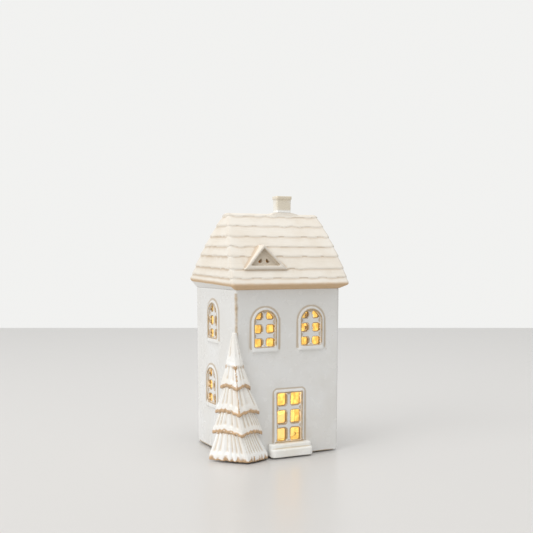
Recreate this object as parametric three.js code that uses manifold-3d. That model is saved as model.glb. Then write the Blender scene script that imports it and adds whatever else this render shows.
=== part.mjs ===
// A light-up ceramic Christmas house: a glazed stoneware house with pierced windows, a matt clay roof,
// a glazed fir tree on its corner, and a battery lamp pushed into the hole in its base.
// Millimetres, +Z up, the front faces -Y, and the origin lies under the middle of the whole piece.
import * as THREE from "three";
import { mergeVertices } from "three/addons/utils/BufferGeometryUtils.js";
import Module from "manifold-3d";

const wasm = await Module();
wasm.setup();

// Clearances
const SEAT_GAP = 0.3; // between glazed pieces that were luted together, and at drop-in seats
const LINE_FIT = 0.15; // between turned plastic pieces that slide over each other
const CUT_EXTRA = 1; // how far a cutting tool runs past the face that it cuts

// House walls
const HOUSE_WIDTH = 81.5; // at the top of the walls
const HOUSE_DEPTH = 73;
const WALL_TOP = 116;
const WALL_DRAFT = 1; // each wall leans out by this much from foot to eave
const WALL_THICKNESS = 4;
const WALL_EDGE_RADIUS = 2;
const PAD_HEIGHT = 1;
const PAD_RADIUS = 4;
const PAD_INSET = 8; // from the house's foot to a pad's middle
const FLOOR_THICKNESS = 4;

// Windows
const WINDOW_WIDTH = 19.7;
const WINDOW_HEIGHT = 29.8;
const FRAME_WIDTH = 2.1;
const FRAME_PROUD = 0.9;
const BAR_SETBACK = 0.7; // the glazing bars lie this far behind the wall's face
const WINDOW_SILL = 3.4; // the band below the lowest panes
const WINDOW_POST = 3.5; // the upright glazing bar
const WINDOW_RAIL = 4.1; // each level glazing bar
const ARCH_STEPS = 10;
const FRONT_WINDOW_SPACING = 35.9;
const FRONT_WINDOW_OFFSET = -0.4; // the middle of the pair lies this far right of the wall's middle
const FRONT_WINDOW_SILL = 73.4;
const UPPER_SIDE_WINDOW_SILL = 77.4;
const UPPER_SIDE_WINDOW_BACK = 3.3; // how far it lies behind the middle of its wall
const LOWER_SIDE_WINDOW_SILL = 30.6;
const LOWER_SIDE_WINDOW_BACK = 6.7;

// Door and doorstep
const DOOR_WIDTH = 22.8;
const DOOR_TOP = 46.1;
const DOOR_THRESHOLD = 0.7; // the band below the lowest panes
const DOOR_POST = 3.6;
const DOOR_RAIL = 3.7;
const DOOR_OFFSET = 0.5;
const DOOR_CORNER_RADIUS = 2;
const STEP_WIDTH = 32;
const STEP_OFFSET = 0.25;
const LOWER_SLAB_RISE = 5.6;
const LOWER_SLAB_REACH = 6.2; // how far it stands out from the wall
const UPPER_SLAB_RISE = 3.2;
const UPPER_SLAB_REACH = 4;
const STEP_END_RADIUS = 3;
const STEP_BEVEL = 1;

// Roof
const EAVE_OVERHANG = 4.4; // past the front wall and the left wall
const EAVE_OVERHANG_RIGHT = 6.1;
const EAVE_OVERHANG_BACK = 3.2;
const EAVE_BEVEL = 3.6; // the height of the slanting underside of the eave
const EAVE_RISE = 2.4; // the eave climbs by this much from front to back
const RIDGE_HEIGHT = 169.8;
const RIDGE_LENGTH = 72.7;
const RIDGE_DEPTH = 8;
const RIDGE_OFFSET = 3.05; // the ridge's middle lies this far right of the walls' middle
const RIDGE_FORWARD = 1.5; // and this far in front of it
const RIDGE_ROUNDING = 1.6;
const RIDGE_STEPS = 3;
const ROOF_BULGE = 1.6; // how far the slopes bow out halfway up
const ROOF_THICKNESS = 4;
const ROOF_EDGE_RADIUS = 2.2;
const ATTIC_TOP_RADIUS = 1.2;
// Each row's height as a share of the roof's, from the eave upwards
const COURSE_SHARES = [0.091, 0.1235, 0.17, 0.137, 0.143, 0.152, 0.1435];
const SHINGLE_LIP = 0.8; // how far each row stands out over the one below
const SHINGLE_LIFT = 0.35; // how far a row's underside slants up
const SHINGLE_WAVE = 0.3; // how far a row's hand-cut lower edge wanders
const WAVE_REACH = 1; // a row's edge stays within this distance of its level
const SIDE_STEPS = 17; // straight stretches in one side of a row

// Dormer
const DORMER_OFFSET = -16.75;
const DORMER_SILL = 130;
const DORMER_WIDTH = 32.5;
const DORMER_HEIGHT = 17;
const DORMER_LEAN = 4; // its apex lies this far behind its sill
const DORMER_PROUD = 1.2; // its sill stands this far out from the roof's slope
const DORMER_RAKE = 1.7; // width of its sloping edges
const DORMER_RECESS = 3;
const DORMER_SILL_HEIGHT = 2.4;
const DORMER_PANE = 3.6;
const DORMER_PANE_RISE = 1.9; // above the sill
const DORMER_BAR = 3.2;

// Chimney, and the mound of the roof's clay that it stands on
const CHIMNEY_OFFSET = 12.2;
const CHIMNEY_WIDTH = 12.1;
const CHIMNEY_DEPTH = 7.4;
const CHIMNEY_HEIGHT = 12.1;
const CHIMNEY_LIP = 0.45;
const CHIMNEY_LIP_HEIGHT = 2.4;
const CHIMNEY_EDGE_RADIUS = 1.2;
const CHIMNEY_SEAT_RISE = 1.1; // above the ridge
const CHIMNEY_SEAT_DROP = 3; // below the ridge, where the mound has run out
const CHIMNEY_SEAT_MARGIN = 0.4; // round the chimney's foot, on top of the mound
const CHIMNEY_SEAT_SPREAD = [5, 0.8]; // past the chimney along and across the ridge, at the ridge's height
const CHIMNEY_SEAT_FOOT = [8, 1.6]; // the same where the mound has run out
const FLUE_WALL = 1.9;
const FLUE_DEPTH = 6;

// Fir tree. Each tier droops at three tips round the house's front left corner. Each tip's place, from
// that corner, and each rim's height are shares of the tree's height.
const TREE_HEIGHT = 86.5;
const TREE_TIERS = [
  { rim: 0.712, left: [-0.053, 0.076], ridge: [-0.016, -0.043], right: [0.062, -0.023] },
  { rim: 0.548, left: [-0.076, 0.126], ridge: [-0.016, -0.069], right: [0.117, -0.03] },
  { rim: 0.349, left: [-0.101, 0.172], ridge: [-0.011, -0.094], right: [0.192, -0.034] },
  { rim: 0.19, left: [-0.13, 0.167], ridge: [0.011, -0.101], right: [0.215, -0.037] },
  { rim: 0, left: [-0.176, 0.124], ridge: [0.057, -0.117], right: [0.263, -0.041] },
];
const TREE_TIP = { left: [-0.024, 0.011], ridge: [-0.022, -0.014], right: [0.001, -0.011] };
const TREE_NECK = 0.7; // a tier's neck against the rim above it
const TREE_NECK_RISE = 5; // how far a neck runs up inside the tier above
const TREE_LIP = 1.5; // the thickness of a rim
const TREE_ARCH = 2.2; // how far a rim rises between its tips
const TREE_FLUTE = 0.6; // the depth of the grooves that stand for needles
const TREE_FACET_STEPS = 14;
const TREE_UNDERCUT = 2.4;
const TREE_ROOT = 12; // how far its outline runs into the corner before the house is cut out of it

// Lamp hole and lamp unit
const TURN_STEPS = 40;
const LAMP_SQUEEZE_SPACE = 1.6; // between the cup and the hole, for the ribbed ring
const FOOT_RECESS_MARGIN = 7; // from the hole's edge to the recess's
const FOOT_RECESS_DEPTH = 4;
const FLANGE_CLEARANCE = 1.5;
const FLANGE_THICKNESS = 2.4;
const DECK_THICKNESS = 1.5;
const CUP_WALL = 1.6;
const CUP_CLEARANCE = 1.2; // round what it holds
const CUP_HEIGHT = 21.3;
const SEAL_HEIGHT = 4.2;
const SEAL_WALL = 0.6;
const SEAL_RIBS = 2;

// Button cells and the compartment round them
const CELL_COUNT = 3;
const CELL_RADIUS = 5.8;
const CELL_LENGTH = 5.4;
const CELL_CAP_RADIUS = 4.8;
const CELL_CAP_LENGTH = 0.5;
const CELL_CLEARANCE = 0.4;
const CELL_OFFSET = -5.5; // the row of cells lies this far in front of the lamp's axis
const TUB_WALL = 1.2;
const CONTACT_SPACE = 2.3; // between the last cell and the end of the compartment
const CONTACT_THICKNESS = 0.3;
const CONTACT_WIDTH = 5;
const CONTACT_HEIGHT = 8;

// Battery door
const DOOR_PLATE_THICKNESS = 2.1;
const DOOR_PLATE_MARGIN = 2.4; // past the compartment's mouth, each way
const DOOR_PLATE_GAP = 0.25;
const DOOR_EAR_LENGTH = 4.4;
const DOOR_EAR_WIDTH = 6;
const DOOR_PEG_RADIUS = 0.55;
const DOOR_PEG_HEIGHT = 1;
const DOOR_PEG_SPREAD = 8;

// Screws
const SCREW_RADIUS = 0.9;
const SCREW_HEAD_RADIUS = 1.9;
const SCREW_HEAD_HEIGHT = 1.2;
const SCREW_HOLE_CLEARANCE = 0.2;
const DOOR_SCREW_LENGTH = 6.4;
const COVER_SCREW_LENGTH = 9;
const SCREW_SLOT_WIDTH = 0.5;
const SCREW_SLOT_DEPTH = 0.5;
const BOSS_RADIUS = 2.4;
const BOSS_HEIGHT = 5;
const COVER_SCREW_BACK = 10; // behind the lamp's axis

// Slide switch
const SWITCH_BACK = 10.5; // behind the lamp's axis
const SWITCH_LENGTH = 8.6;
const SWITCH_WIDTH = 4.4;
const SWITCH_HEIGHT = 4.5;
const SWITCH_TRAVEL = 3;
const SLIDER_STEM = 2;
const SLIDER_SHOE = 3.2;
const SLIDER_SHOE_HEIGHT = 2;
const SLIDER_PROUD = 0.8;

// Board, light-emitting diode and diffuser
const BOARD_THICKNESS = 1.6;
const LED_RADIUS = 2.5;
const LED_FLANGE_RADIUS = 2.9;
const LED_FLANGE_HEIGHT = 1;
const LED_BODY_HEIGHT = 5.1;
const LED_STANDOFF = 0.9;
const LED_LEG_SPACING = 2.54;
const LED_LEG_WIDTH = 0.5;
const DIFFUSER_RADIUS = 8;
const DIFFUSER_WALL = 1;
const DIFFUSER_FLANGE = 1.5;
const DIFFUSER_RIM_WALL = 1.2;
const RESISTOR_SIZE = [3.2, 1.6, 0.6];
const RESISTOR_PLACE = [8, 4];

// Levels that follow from these sizes
const WALL_FOOT = PAD_HEIGHT;
const FLOOR_BOTTOM = WALL_FOOT + FOOT_RECESS_DEPTH;
const FLOOR_TOP = FLOOR_BOTTOM + FLOOR_THICKNESS;
const EAVE_HEIGHT = WALL_TOP + EAVE_BEVEL;
const CORNER = new THREE.Vector2(-HOUSE_WIDTH / 2, -HOUSE_DEPTH / 2);
const STEP_RISE = LOWER_SLAB_RISE + UPPER_SLAB_RISE;
const FLANGE_TOP = FLOOR_BOTTOM - SEAT_GAP;
const FLANGE_BOTTOM = FLANGE_TOP - FLANGE_THICKNESS;
const DECK_TOP = FLANGE_TOP + DECK_THICKNESS;
const CUP_TOP = FLANGE_TOP + CUP_HEIGHT;
const DOOR_PLATE_TOP = FLANGE_BOTTOM + DOOR_PLATE_THICKNESS;
const CELL_HEIGHT = DOOR_PLATE_TOP + SEAT_GAP + CELL_RADIUS; // of the cells' own axis
const TUB_HALF_LENGTH = (CELL_COUNT * CELL_LENGTH) / 2 + CONTACT_SPACE;
const TUB_HALF_WIDTH = CELL_RADIUS + CELL_CLEARANCE;
const TUB_INNER_TOP = CELL_HEIGHT + CELL_RADIUS + SEAT_GAP;
const TUB_TOP = TUB_INNER_TOP + TUB_WALL;
const BOARD_BOTTOM = TUB_TOP;
const BOARD_TOP = BOARD_BOTTOM + BOARD_THICKNESS;
const DOOR_SCREW_ALONG = TUB_HALF_LENGTH + DOOR_PLATE_MARGIN + DOOR_EAR_LENGTH - DOOR_EAR_WIDTH / 2;
const CUP_INNER_RADIUS = Math.hypot(DOOR_SCREW_ALONG, CELL_OFFSET) + BOSS_RADIUS + CUP_CLEARANCE;
const CUP_RADIUS = CUP_INNER_RADIUS + CUP_WALL;
const LAMP_HOLE_RADIUS = CUP_RADIUS + LAMP_SQUEEZE_SPACE;
const FOOT_RECESS_RADIUS = LAMP_HOLE_RADIUS + FOOT_RECESS_MARGIN;
const FLANGE_RADIUS = FOOT_RECESS_RADIUS - FLANGE_CLEARANCE;
const BOARD_RADIUS = CUP_INNER_RADIUS - CUP_CLEARANCE;
const COVER_SCREW_ALONG = Math.sqrt((CUP_INNER_RADIUS - BOSS_RADIUS) ** 2 - COVER_SCREW_BACK ** 2);

// Turns a closed geometry into a solid that can be joined and cut.
function solidFrom(geometry) {
  const bare = geometry.clone();
  bare.deleteAttribute("normal");
  bare.deleteAttribute("uv");
  const merged = mergeVertices(bare, 1e-4);
  return new wasm.Manifold(
    new wasm.Mesh({
      numProp: 3,
      vertProperties: merged.attributes.position.array,
      triVerts: new Uint32Array(merged.index.array),
    }),
  );
}

// Turns a solid back into a geometry.
function geometryFrom(solid) {
  const mesh = solid.getMesh();
  const geometry = new THREE.BufferGeometry();
  geometry.setAttribute("position", new THREE.BufferAttribute(mesh.vertProperties, 3));
  geometry.setIndex(new THREE.BufferAttribute(mesh.triVerts, 1));
  geometry.computeVertexNormals();
  return geometry;
}

// Joins a list of solids.
function joined(solids) {
  return solids.reduce((whole, solid) => whole.add(solid));
}

// Skins closed rings of points, given from the bottom up and anticlockwise from above, and closes the ends.
function loft(rings) {
  const count = rings[0].length;
  const points = rings.flat();
  const index = [];
  for (let ring = 0; ring + 1 < rings.length; ring++) {
    for (let i = 0; i < count; i++) {
      const low = ring * count + i;
      const lowNext = ring * count + ((i + 1) % count);
      index.push(low, lowNext, lowNext + count, low, lowNext + count, low + count);
    }
  }
  const last = (rings.length - 1) * count;
  const bottomMiddle = points.push(meanPoint(rings[0])) - 1;
  const topMiddle = points.push(meanPoint(rings[rings.length - 1])) - 1;
  for (let i = 0; i < count; i++) {
    const next = (i + 1) % count;
    index.push(bottomMiddle, next, i, topMiddle, last + i, last + next);
  }
  const geometry = new THREE.BufferGeometry().setFromPoints(points);
  geometry.setIndex(index);
  return solidFrom(geometry);
}

// The mean of a ring of points.
function meanPoint(ring) {
  const sum = ring.reduce((total, point) => total.add(point), new THREE.Vector3());
  return sum.divideScalar(ring.length);
}

// Points round a rectangle with rounded corners, anticlockwise from above, each side cut into sideSteps.
function roundedRectangle(halfX, halfY, radius, sideSteps = 1, cornerSteps = 3) {
  const points = [];
  const corners = [
    [1, -1, -Math.PI / 2],
    [1, 1, 0],
    [-1, 1, Math.PI / 2],
    [-1, -1, Math.PI],
  ];
  for (const [signX, signY, start] of corners) {
    const middle = new THREE.Vector2(signX * (halfX - radius), signY * (halfY - radius));
    for (let i = 0; i <= cornerSteps; i++) {
      const angle = start + ((Math.PI / 2) * i) / cornerSteps;
      const outward = new THREE.Vector2(Math.cos(angle), Math.sin(angle));
      points.push(middle.clone().addScaledVector(outward, radius));
    }
  }
  if (sideSteps === 1) return points;
  const finer = [];
  points.forEach((point, i) => {
    const next = points[(i + 1) % points.length];
    const isSide = (i + 1) % (cornerSteps + 1) === 0;
    const steps = isSide ? sideSteps : 1;
    for (let k = 0; k < steps; k++) finer.push(point.clone().lerp(next, k / steps));
  });
  return finer;
}

// Lifts a flat outline to a height.
function atHeight(points, height) {
  return points.map((point) => new THREE.Vector3(point.x, point.y, height));
}

// A solid with every pocket that is closed off inside it filled in.
function withoutPockets(solid) {
  return joined(solid.decompose().filter((piece) => piece.volume() > 0));
}

// A block with rounded upright edges that changes size from level to level, each about its own middle.
function roundedBlock(levels) {
  return loft(
    levels.map(({ z, halfX, halfY, radius, x = 0, y = 0 }) => {
      const middle = new THREE.Vector3(x, y, 0);
      return atHeight(roundedRectangle(halfX, halfY, radius), z).map((point) => point.add(middle));
    }),
  );
}

// A rectangular block between two corners.
function block(low, high) {
  const size = high.map((value, i) => value - low[i]);
  const geometry = new THREE.BoxGeometry(...size);
  geometry.translate(...low.map((value, i) => value + size[i] / 2));
  return solidFrom(geometry);
}

// An upright cylinder.
function cylinder(radius, bottom, top, [x, y] = [0, 0], steps = TURN_STEPS) {
  const geometry = new THREE.CylinderGeometry(radius, radius, top - bottom, steps);
  geometry.rotateX(Math.PI / 2);
  geometry.translate(x, y, (bottom + top) / 2);
  return solidFrom(geometry);
}

// A solid turned round the Z axis from a profile of [radius, height] pairs, given from the top down.
function turned(profile, steps = TURN_STEPS) {
  const points = profile.map(([radius, height]) => new THREE.Vector2(radius, height)).reverse();
  const geometry = new THREE.LatheGeometry(points, steps);
  geometry.rotateX(Math.PI / 2);
  return solidFrom(geometry);
}

// A flat shape given thickness from one depth to another along Z.
function slab(shape, from, to, curveSegments = ARCH_STEPS) {
  const geometry = new THREE.ExtrudeGeometry(shape, { depth: to - from, bevelEnabled: false, curveSegments });
  geometry.translate(0, 0, from);
  return solidFrom(geometry);
}

// A shape with straight sides through the given points.
function polygon(points) {
  return new THREE.Shape(points.map(([x, y]) => new THREE.Vector2(x, y)));
}

// How far each wall's face has come in, at a height, from its place at the eave.
function draftAt(height) {
  return (WALL_DRAFT * (WALL_TOP - height)) / (WALL_TOP - WALL_FOOT);
}

// The solid block that the house's outer faces enclose, grown outwards by a gap.
function wallBlock(grow = 0, bottom = WALL_FOOT, top = WALL_TOP) {
  return roundedBlock(
    [bottom, top].map((z) => ({
      z,
      halfX: HOUSE_WIDTH / 2 - draftAt(z) + grow,
      halfY: HOUSE_DEPTH / 2 - draftAt(z) + grow,
      radius: WALL_EDGE_RADIUS + grow,
    })),
  );
}

// Places something drawn on a wall, with X to the right, Y up and Z out of the wall, on one of the walls.
// The turn is in quarters: 0 for the front, 1 for the right side and 3 for the left side.
function onWall(quarter, along, height) {
  const half = (quarter % 2 === 0 ? HOUSE_DEPTH : HOUSE_WIDTH) / 2;
  const lean = Math.atan2(WALL_DRAFT, WALL_TOP - WALL_FOOT);
  return new THREE.Matrix4()
    .makeRotationZ((quarter * Math.PI) / 2)
    .multiply(new THREE.Matrix4().makeTranslation(along, -(half - draftAt(height)), height))
    .multiply(new THREE.Matrix4().makeRotationX(Math.PI / 2 + lean));
}

// The outline of an arched window, drawn in from its full size by an inset, down to a bottom.
function archShape(inset, bottom = inset) {
  const half = WINDOW_WIDTH / 2 - inset;
  const spring = WINDOW_HEIGHT - WINDOW_WIDTH / 2;
  const shape = new THREE.Shape();
  shape.moveTo(-half, bottom);
  shape.lineTo(half, bottom);
  shape.lineTo(half, spring);
  shape.absarc(0, spring, half, 0, Math.PI);
  shape.lineTo(-half, bottom);
  return shape;
}

// The outline of the door's frame, with its upper corners rounded.
function doorShape(inset, bottom = inset) {
  const half = DOOR_WIDTH / 2 - inset;
  const top = DOOR_TOP - WALL_FOOT - STEP_RISE - inset;
  const radius = Math.max(DOOR_CORNER_RADIUS - inset, 0.4);
  const shape = new THREE.Shape();
  shape.moveTo(-half, bottom);
  shape.lineTo(half, bottom);
  shape.lineTo(half, top - radius);
  shape.absarc(half - radius, top - radius, radius, 0, Math.PI / 2);
  shape.absarc(-half + radius, top - radius, radius, Math.PI / 2, Math.PI);
  shape.lineTo(-half, bottom);
  return shape;
}

// The bars that divide an opening into two columns and three rows of panes, between its sill and its frame.
function glazingBars({ width, height, sill, post, rail }) {
  const paneHeight = (height - FRAME_WIDTH - sill - 2 * rail) / 3;
  const back = -2 * WALL_THICKNESS;
  const bars = [block([-post / 2, 0, back], [post / 2, height, -BAR_SETBACK])];
  for (const row of [1, 2]) {
    const low = sill + row * paneHeight + (row - 1) * rail;
    bars.push(block([-width / 2, low, back], [width / 2, low + rail, -BAR_SETBACK]));
  }
  return joined(bars);
}

// A window or door as two tools: the raised frame, and what is cut out inside it round the bars.
function openingTools(kind) {
  const hole = kind.outline(FRAME_WIDTH, kind.sill);
  return {
    frame: slab(kind.outline(0), -WALL_THICKNESS / 2, FRAME_PROUD),
    cut: slab(hole, -WALL_THICKNESS - CUT_EXTRA, FRAME_PROUD + CUT_EXTRA).subtract(glazingBars(kind)),
  };
}

// Every window and the door, each with its tools and its place on a wall.
function openings() {
  const windowTools = openingTools({
    outline: archShape,
    width: WINDOW_WIDTH,
    height: WINDOW_HEIGHT,
    sill: WINDOW_SILL,
    post: WINDOW_POST,
    rail: WINDOW_RAIL,
  });
  const doorTools = openingTools({
    outline: doorShape,
    width: DOOR_WIDTH,
    height: DOOR_TOP - WALL_FOOT - STEP_RISE,
    sill: DOOR_THRESHOLD,
    post: DOOR_POST,
    rail: DOOR_RAIL,
  });
  const found = [{ tools: doorTools, place: onWall(0, DOOR_OFFSET, WALL_FOOT + STEP_RISE) }];
  for (const side of [-1, 1]) {
    const along = FRONT_WINDOW_OFFSET + (side * FRONT_WINDOW_SPACING) / 2;
    found.push({ tools: windowTools, place: onWall(0, along, FRONT_WINDOW_SILL) });
  }
  const sideWindows = [
    [UPPER_SIDE_WINDOW_BACK, UPPER_SIDE_WINDOW_SILL],
    [LOWER_SIDE_WINDOW_BACK, LOWER_SIDE_WINDOW_SILL],
  ];
  for (const [back, sill] of sideWindows) {
    found.push({ tools: windowTools, place: onWall(1, back, sill) });
    found.push({ tools: windowTools, place: onWall(3, -back, sill) });
  }
  return found;
}

// Puts a solid in the place that a matrix gives.
function placed(solid, matrix) {
  return solid.transform(matrix.elements);
}

// The glazed walls and floor, one hollow casting with pierced windows and a hole for the lamp.
function wallShell() {
  const inner = (z) => ({
    z,
    halfX: HOUSE_WIDTH / 2 - draftAt(z) - WALL_THICKNESS,
    halfY: HOUSE_DEPTH / 2 - draftAt(z) - WALL_THICKNESS,
    radius: WALL_EDGE_RADIUS,
  });
  const hollow = roundedBlock([inner(FLOOR_TOP), inner(WALL_TOP + CUT_EXTRA)]);
  const found = openings();
  let shell = wallBlock();
  for (const { tools, place } of found) shell = shell.add(placed(tools.frame, place));
  shell = shell.subtract(hollow);
  for (const { tools, place } of found) shell = shell.subtract(placed(tools.cut, place));
  const footRecess = cylinder(FOOT_RECESS_RADIUS, WALL_FOOT - CUT_EXTRA, FLOOR_BOTTOM);
  const lampHole = cylinder(LAMP_HOLE_RADIUS, WALL_FOOT - CUT_EXTRA, FLOOR_TOP + CUT_EXTRA);
  return shell.subtract(footRecess).subtract(lampHole);
}

// The roof's slope at a height from the eave to the ridge, drawn in by an inset: half sizes and middle.
function slopeAt(height, inset = 0) {
  const share = (height - EAVE_HEIGHT) / (RIDGE_HEIGHT - EAVE_HEIGHT);
  const grow = 4 * ROOF_BULGE * share * (1 - share) - inset;
  const eave = {
    halfX: (HOUSE_WIDTH + EAVE_OVERHANG + EAVE_OVERHANG_RIGHT) / 2,
    halfY: (HOUSE_DEPTH + EAVE_OVERHANG + EAVE_OVERHANG_BACK) / 2,
    x: (EAVE_OVERHANG_RIGHT - EAVE_OVERHANG) / 2,
    y: (EAVE_OVERHANG_BACK - EAVE_OVERHANG) / 2,
  };
  const ridge = { halfX: RIDGE_LENGTH / 2, halfY: RIDGE_DEPTH / 2, x: RIDGE_OFFSET, y: -RIDGE_FORWARD };
  const at = (key) => THREE.MathUtils.lerp(eave[key], ridge[key], share);
  return { halfX: at("halfX") + grow, halfY: at("halfY") + grow, x: at("x"), y: at("y") };
}

// How far a row's lower edge wanders at a share of the way round, with whole waves so that it closes.
function shingleWave(row, share) {
  const turn = 2 * Math.PI * share;
  return SHINGLE_WAVE * (Math.sin(17 * turn + 2.1 * row) + 0.6 * Math.sin(29 * turn + 4.7 * row));
}

// How far the roof's lower rows climb towards the back, at a place on the slope.
function riseAt(y, height) {
  const share = (height - EAVE_HEIGHT) / (RIDGE_HEIGHT - EAVE_HEIGHT);
  const front = -HOUSE_DEPTH / 2 - EAVE_OVERHANG;
  const depth = HOUSE_DEPTH + EAVE_OVERHANG + EAVE_OVERHANG_BACK;
  return (EAVE_RISE * (1 - share) * (y - front)) / depth;
}

// A ring of points round the roof's slope, drawn in by an inset, whose height wanders with a row's edge.
function roofRing(height, inset, row = null) {
  const outline = (level) => {
    const { halfX, halfY, x, y } = slopeAt(level, inset);
    const radius = Math.max(ROOF_EDGE_RADIUS - inset, 0.3);
    const middle = new THREE.Vector3(x, y, 0);
    const flat = roundedRectangle(halfX, halfY, radius, SIDE_STEPS);
    return atHeight(flat, level).map((point) => point.add(middle));
  };
  const upper = outline(height + WAVE_REACH);
  return outline(height - WAVE_REACH).map((point, i, { length }) => {
    const wave = row === null ? 0 : shingleWave(row, i / length);
    point.lerp(upper[i], (wave / WAVE_REACH + 1) / 2);
    return point.setZ(point.z + riseAt(point.y, point.z));
  });
}

// The roof's outer skin, with each row of shingles standing out over the one below.
function shingledBlock() {
  const foot = roundedRectangle(HOUSE_WIDTH / 2, HOUSE_DEPTH / 2, WALL_EDGE_RADIUS, SIDE_STEPS);
  const rings = [atHeight(foot, WALL_TOP), roofRing(EAVE_HEIGHT, 0)];
  let bottom = EAVE_HEIGHT;
  COURSE_SHARES.forEach((share, i) => {
    const row = i + 1;
    bottom += share * (RIDGE_HEIGHT - EAVE_HEIGHT);
    rings.push(roofRing(bottom + SHINGLE_LIFT, SHINGLE_LIP, row), roofRing(bottom, 0, row));
  });
  for (let step = 1; step <= RIDGE_STEPS; step++) {
    const angle = ((Math.PI / 2) * step) / RIDGE_STEPS;
    const lift = RIDGE_ROUNDING * (1 - Math.sin(angle));
    rings.push(roofRing(RIDGE_HEIGHT - lift, RIDGE_ROUNDING * (1 - Math.cos(angle))));
  }
  return loft(rings);
}

// The dormer's outline seen from the front, drawn in by its rakes and its sill.
function dormerShape(rake, sill) {
  const slope = (2 * DORMER_HEIGHT) / DORMER_WIDTH;
  const drop = rake * Math.hypot(1, slope);
  const half = (DORMER_HEIGHT - drop - sill) / slope;
  return polygon([
    [-half, sill],
    [half, sill],
    [0, DORMER_HEIGHT - drop],
  ]);
}

// How far the front slope's face lies in front of the walls' middle at a height.
function slopeFront(height) {
  const { halfY, y } = slopeAt(height);
  return halfY - y;
}

// Stands a front view of the dormer up on the roof, leaning back, with its depth running into the slope.
function standDormer(solid) {
  const front = slopeFront(DORMER_SILL) + DORMER_PROUD;
  const lean = DORMER_LEAN / DORMER_HEIGHT;
  const place = new THREE.Matrix4().set(
    1, 0, 0, DORMER_OFFSET,
    0, lean, 1, -front,
    0, 1, 0, DORMER_SILL,
    0, 0, 0, 1,
  );
  return placed(solid, place);
}

// The dormer's gable, and the tools that sink its face and pierce its two small panes.
function dormerTools() {
  const slopeDepth = slopeFront(DORMER_SILL) - slopeFront(DORMER_SILL + DORMER_HEIGHT);
  const depth = slopeDepth + DORMER_PROUD + ROOF_THICKNESS / 2;
  const paneDepth = DORMER_PROUD + DORMER_LEAN + 3 * ROOF_THICKNESS;
  const low = DORMER_SILL_HEIGHT + DORMER_PANE_RISE;
  const pane = (side) =>
    polygon([
      [(side * DORMER_BAR) / 2, low],
      [side * (DORMER_BAR / 2 + DORMER_PANE), low],
      [(side * DORMER_BAR) / 2, low + DORMER_PANE],
    ]);
  return {
    gable: standDormer(slab(dormerShape(0, 0), 0, depth)),
    recess: standDormer(slab(dormerShape(DORMER_RAKE, DORMER_SILL_HEIGHT), -CUT_EXTRA, DORMER_RECESS)),
    panes: [-1, 1].map((side) => standDormer(slab(pane(side), 0, paneDepth))),
  };
}

// The low mound of clay on the ridge that carries the chimney, flat on top.
function chimneySeat() {
  const level = (z, [spreadX, spreadY]) => ({
    z,
    x: CHIMNEY_OFFSET,
    y: -RIDGE_FORWARD,
    halfX: CHIMNEY_WIDTH / 2 + spreadX,
    halfY: CHIMNEY_DEPTH / 2 + spreadY,
    radius: CHIMNEY_EDGE_RADIUS,
  });
  return roundedBlock([
    level(RIDGE_HEIGHT - CHIMNEY_SEAT_DROP, CHIMNEY_SEAT_FOOT),
    level(RIDGE_HEIGHT, CHIMNEY_SEAT_SPREAD),
    level(RIDGE_HEIGHT + CHIMNEY_SEAT_RISE, [CHIMNEY_SEAT_MARGIN, CHIMNEY_SEAT_MARGIN]),
  ]);
}

// The matt roof, a hollow casting with rows of shingles, a slanting eave and a pierced dormer.
function roofShell() {
  const dormer = dormerTools();
  const fall = (slopeAt(EAVE_HEIGHT).halfY - slopeAt(RIDGE_HEIGHT).halfY) / (RIDGE_HEIGHT - EAVE_HEIGHT);
  const slopeInset = ROOF_THICKNESS * Math.hypot(1, fall);
  const innerTop = RIDGE_HEIGHT - ROOF_THICKNESS;
  const innerMiddle = (EAVE_HEIGHT + innerTop) / 2;
  const hollow = roundedBlock([
    {
      z: WALL_TOP - CUT_EXTRA,
      halfX: HOUSE_WIDTH / 2 - WALL_THICKNESS,
      halfY: HOUSE_DEPTH / 2 - WALL_THICKNESS,
      radius: WALL_EDGE_RADIUS,
    },
    { z: EAVE_HEIGHT, ...slopeAt(EAVE_HEIGHT, slopeInset), radius: WALL_EDGE_RADIUS },
    { z: innerMiddle, ...slopeAt(innerMiddle, slopeInset), radius: WALL_EDGE_RADIUS },
    { z: innerTop, ...slopeAt(innerTop, slopeInset), radius: ATTIC_TOP_RADIUS },
  ]);
  const whole = joined([shingledBlock(), dormer.gable, chimneySeat()]);
  const tools = [hollow, dormer.recess, ...dormer.panes];
  return tools.reduce((roof, tool) => roof.subtract(tool), whole);
}

// The glazed chimney, with a lip round its top and a blind flue.
function chimney() {
  const foot = RIDGE_HEIGHT + CHIMNEY_SEAT_RISE;
  const top = foot + CHIMNEY_HEIGHT;
  const level = (z, grow, radius = CHIMNEY_EDGE_RADIUS + grow) => ({
    z,
    x: CHIMNEY_OFFSET,
    y: -RIDGE_FORWARD,
    halfX: CHIMNEY_WIDTH / 2 + grow,
    halfY: CHIMNEY_DEPTH / 2 + grow,
    radius,
  });
  const stack = roundedBlock([
    level(foot, 0),
    level(top - CHIMNEY_LIP_HEIGHT - CHIMNEY_LIP, 0),
    level(top - CHIMNEY_LIP_HEIGHT, CHIMNEY_LIP),
    level(top - CHIMNEY_LIP, CHIMNEY_LIP),
    level(top, 0),
  ]);
  const flueRadius = CHIMNEY_EDGE_RADIUS / 2;
  const flue = roundedBlock([
    level(top - FLUE_DEPTH, -FLUE_WALL, flueRadius),
    level(top + CUT_EXTRA, -FLUE_WALL, flueRadius),
  ]);
  return stack.subtract(flue);
}

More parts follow.
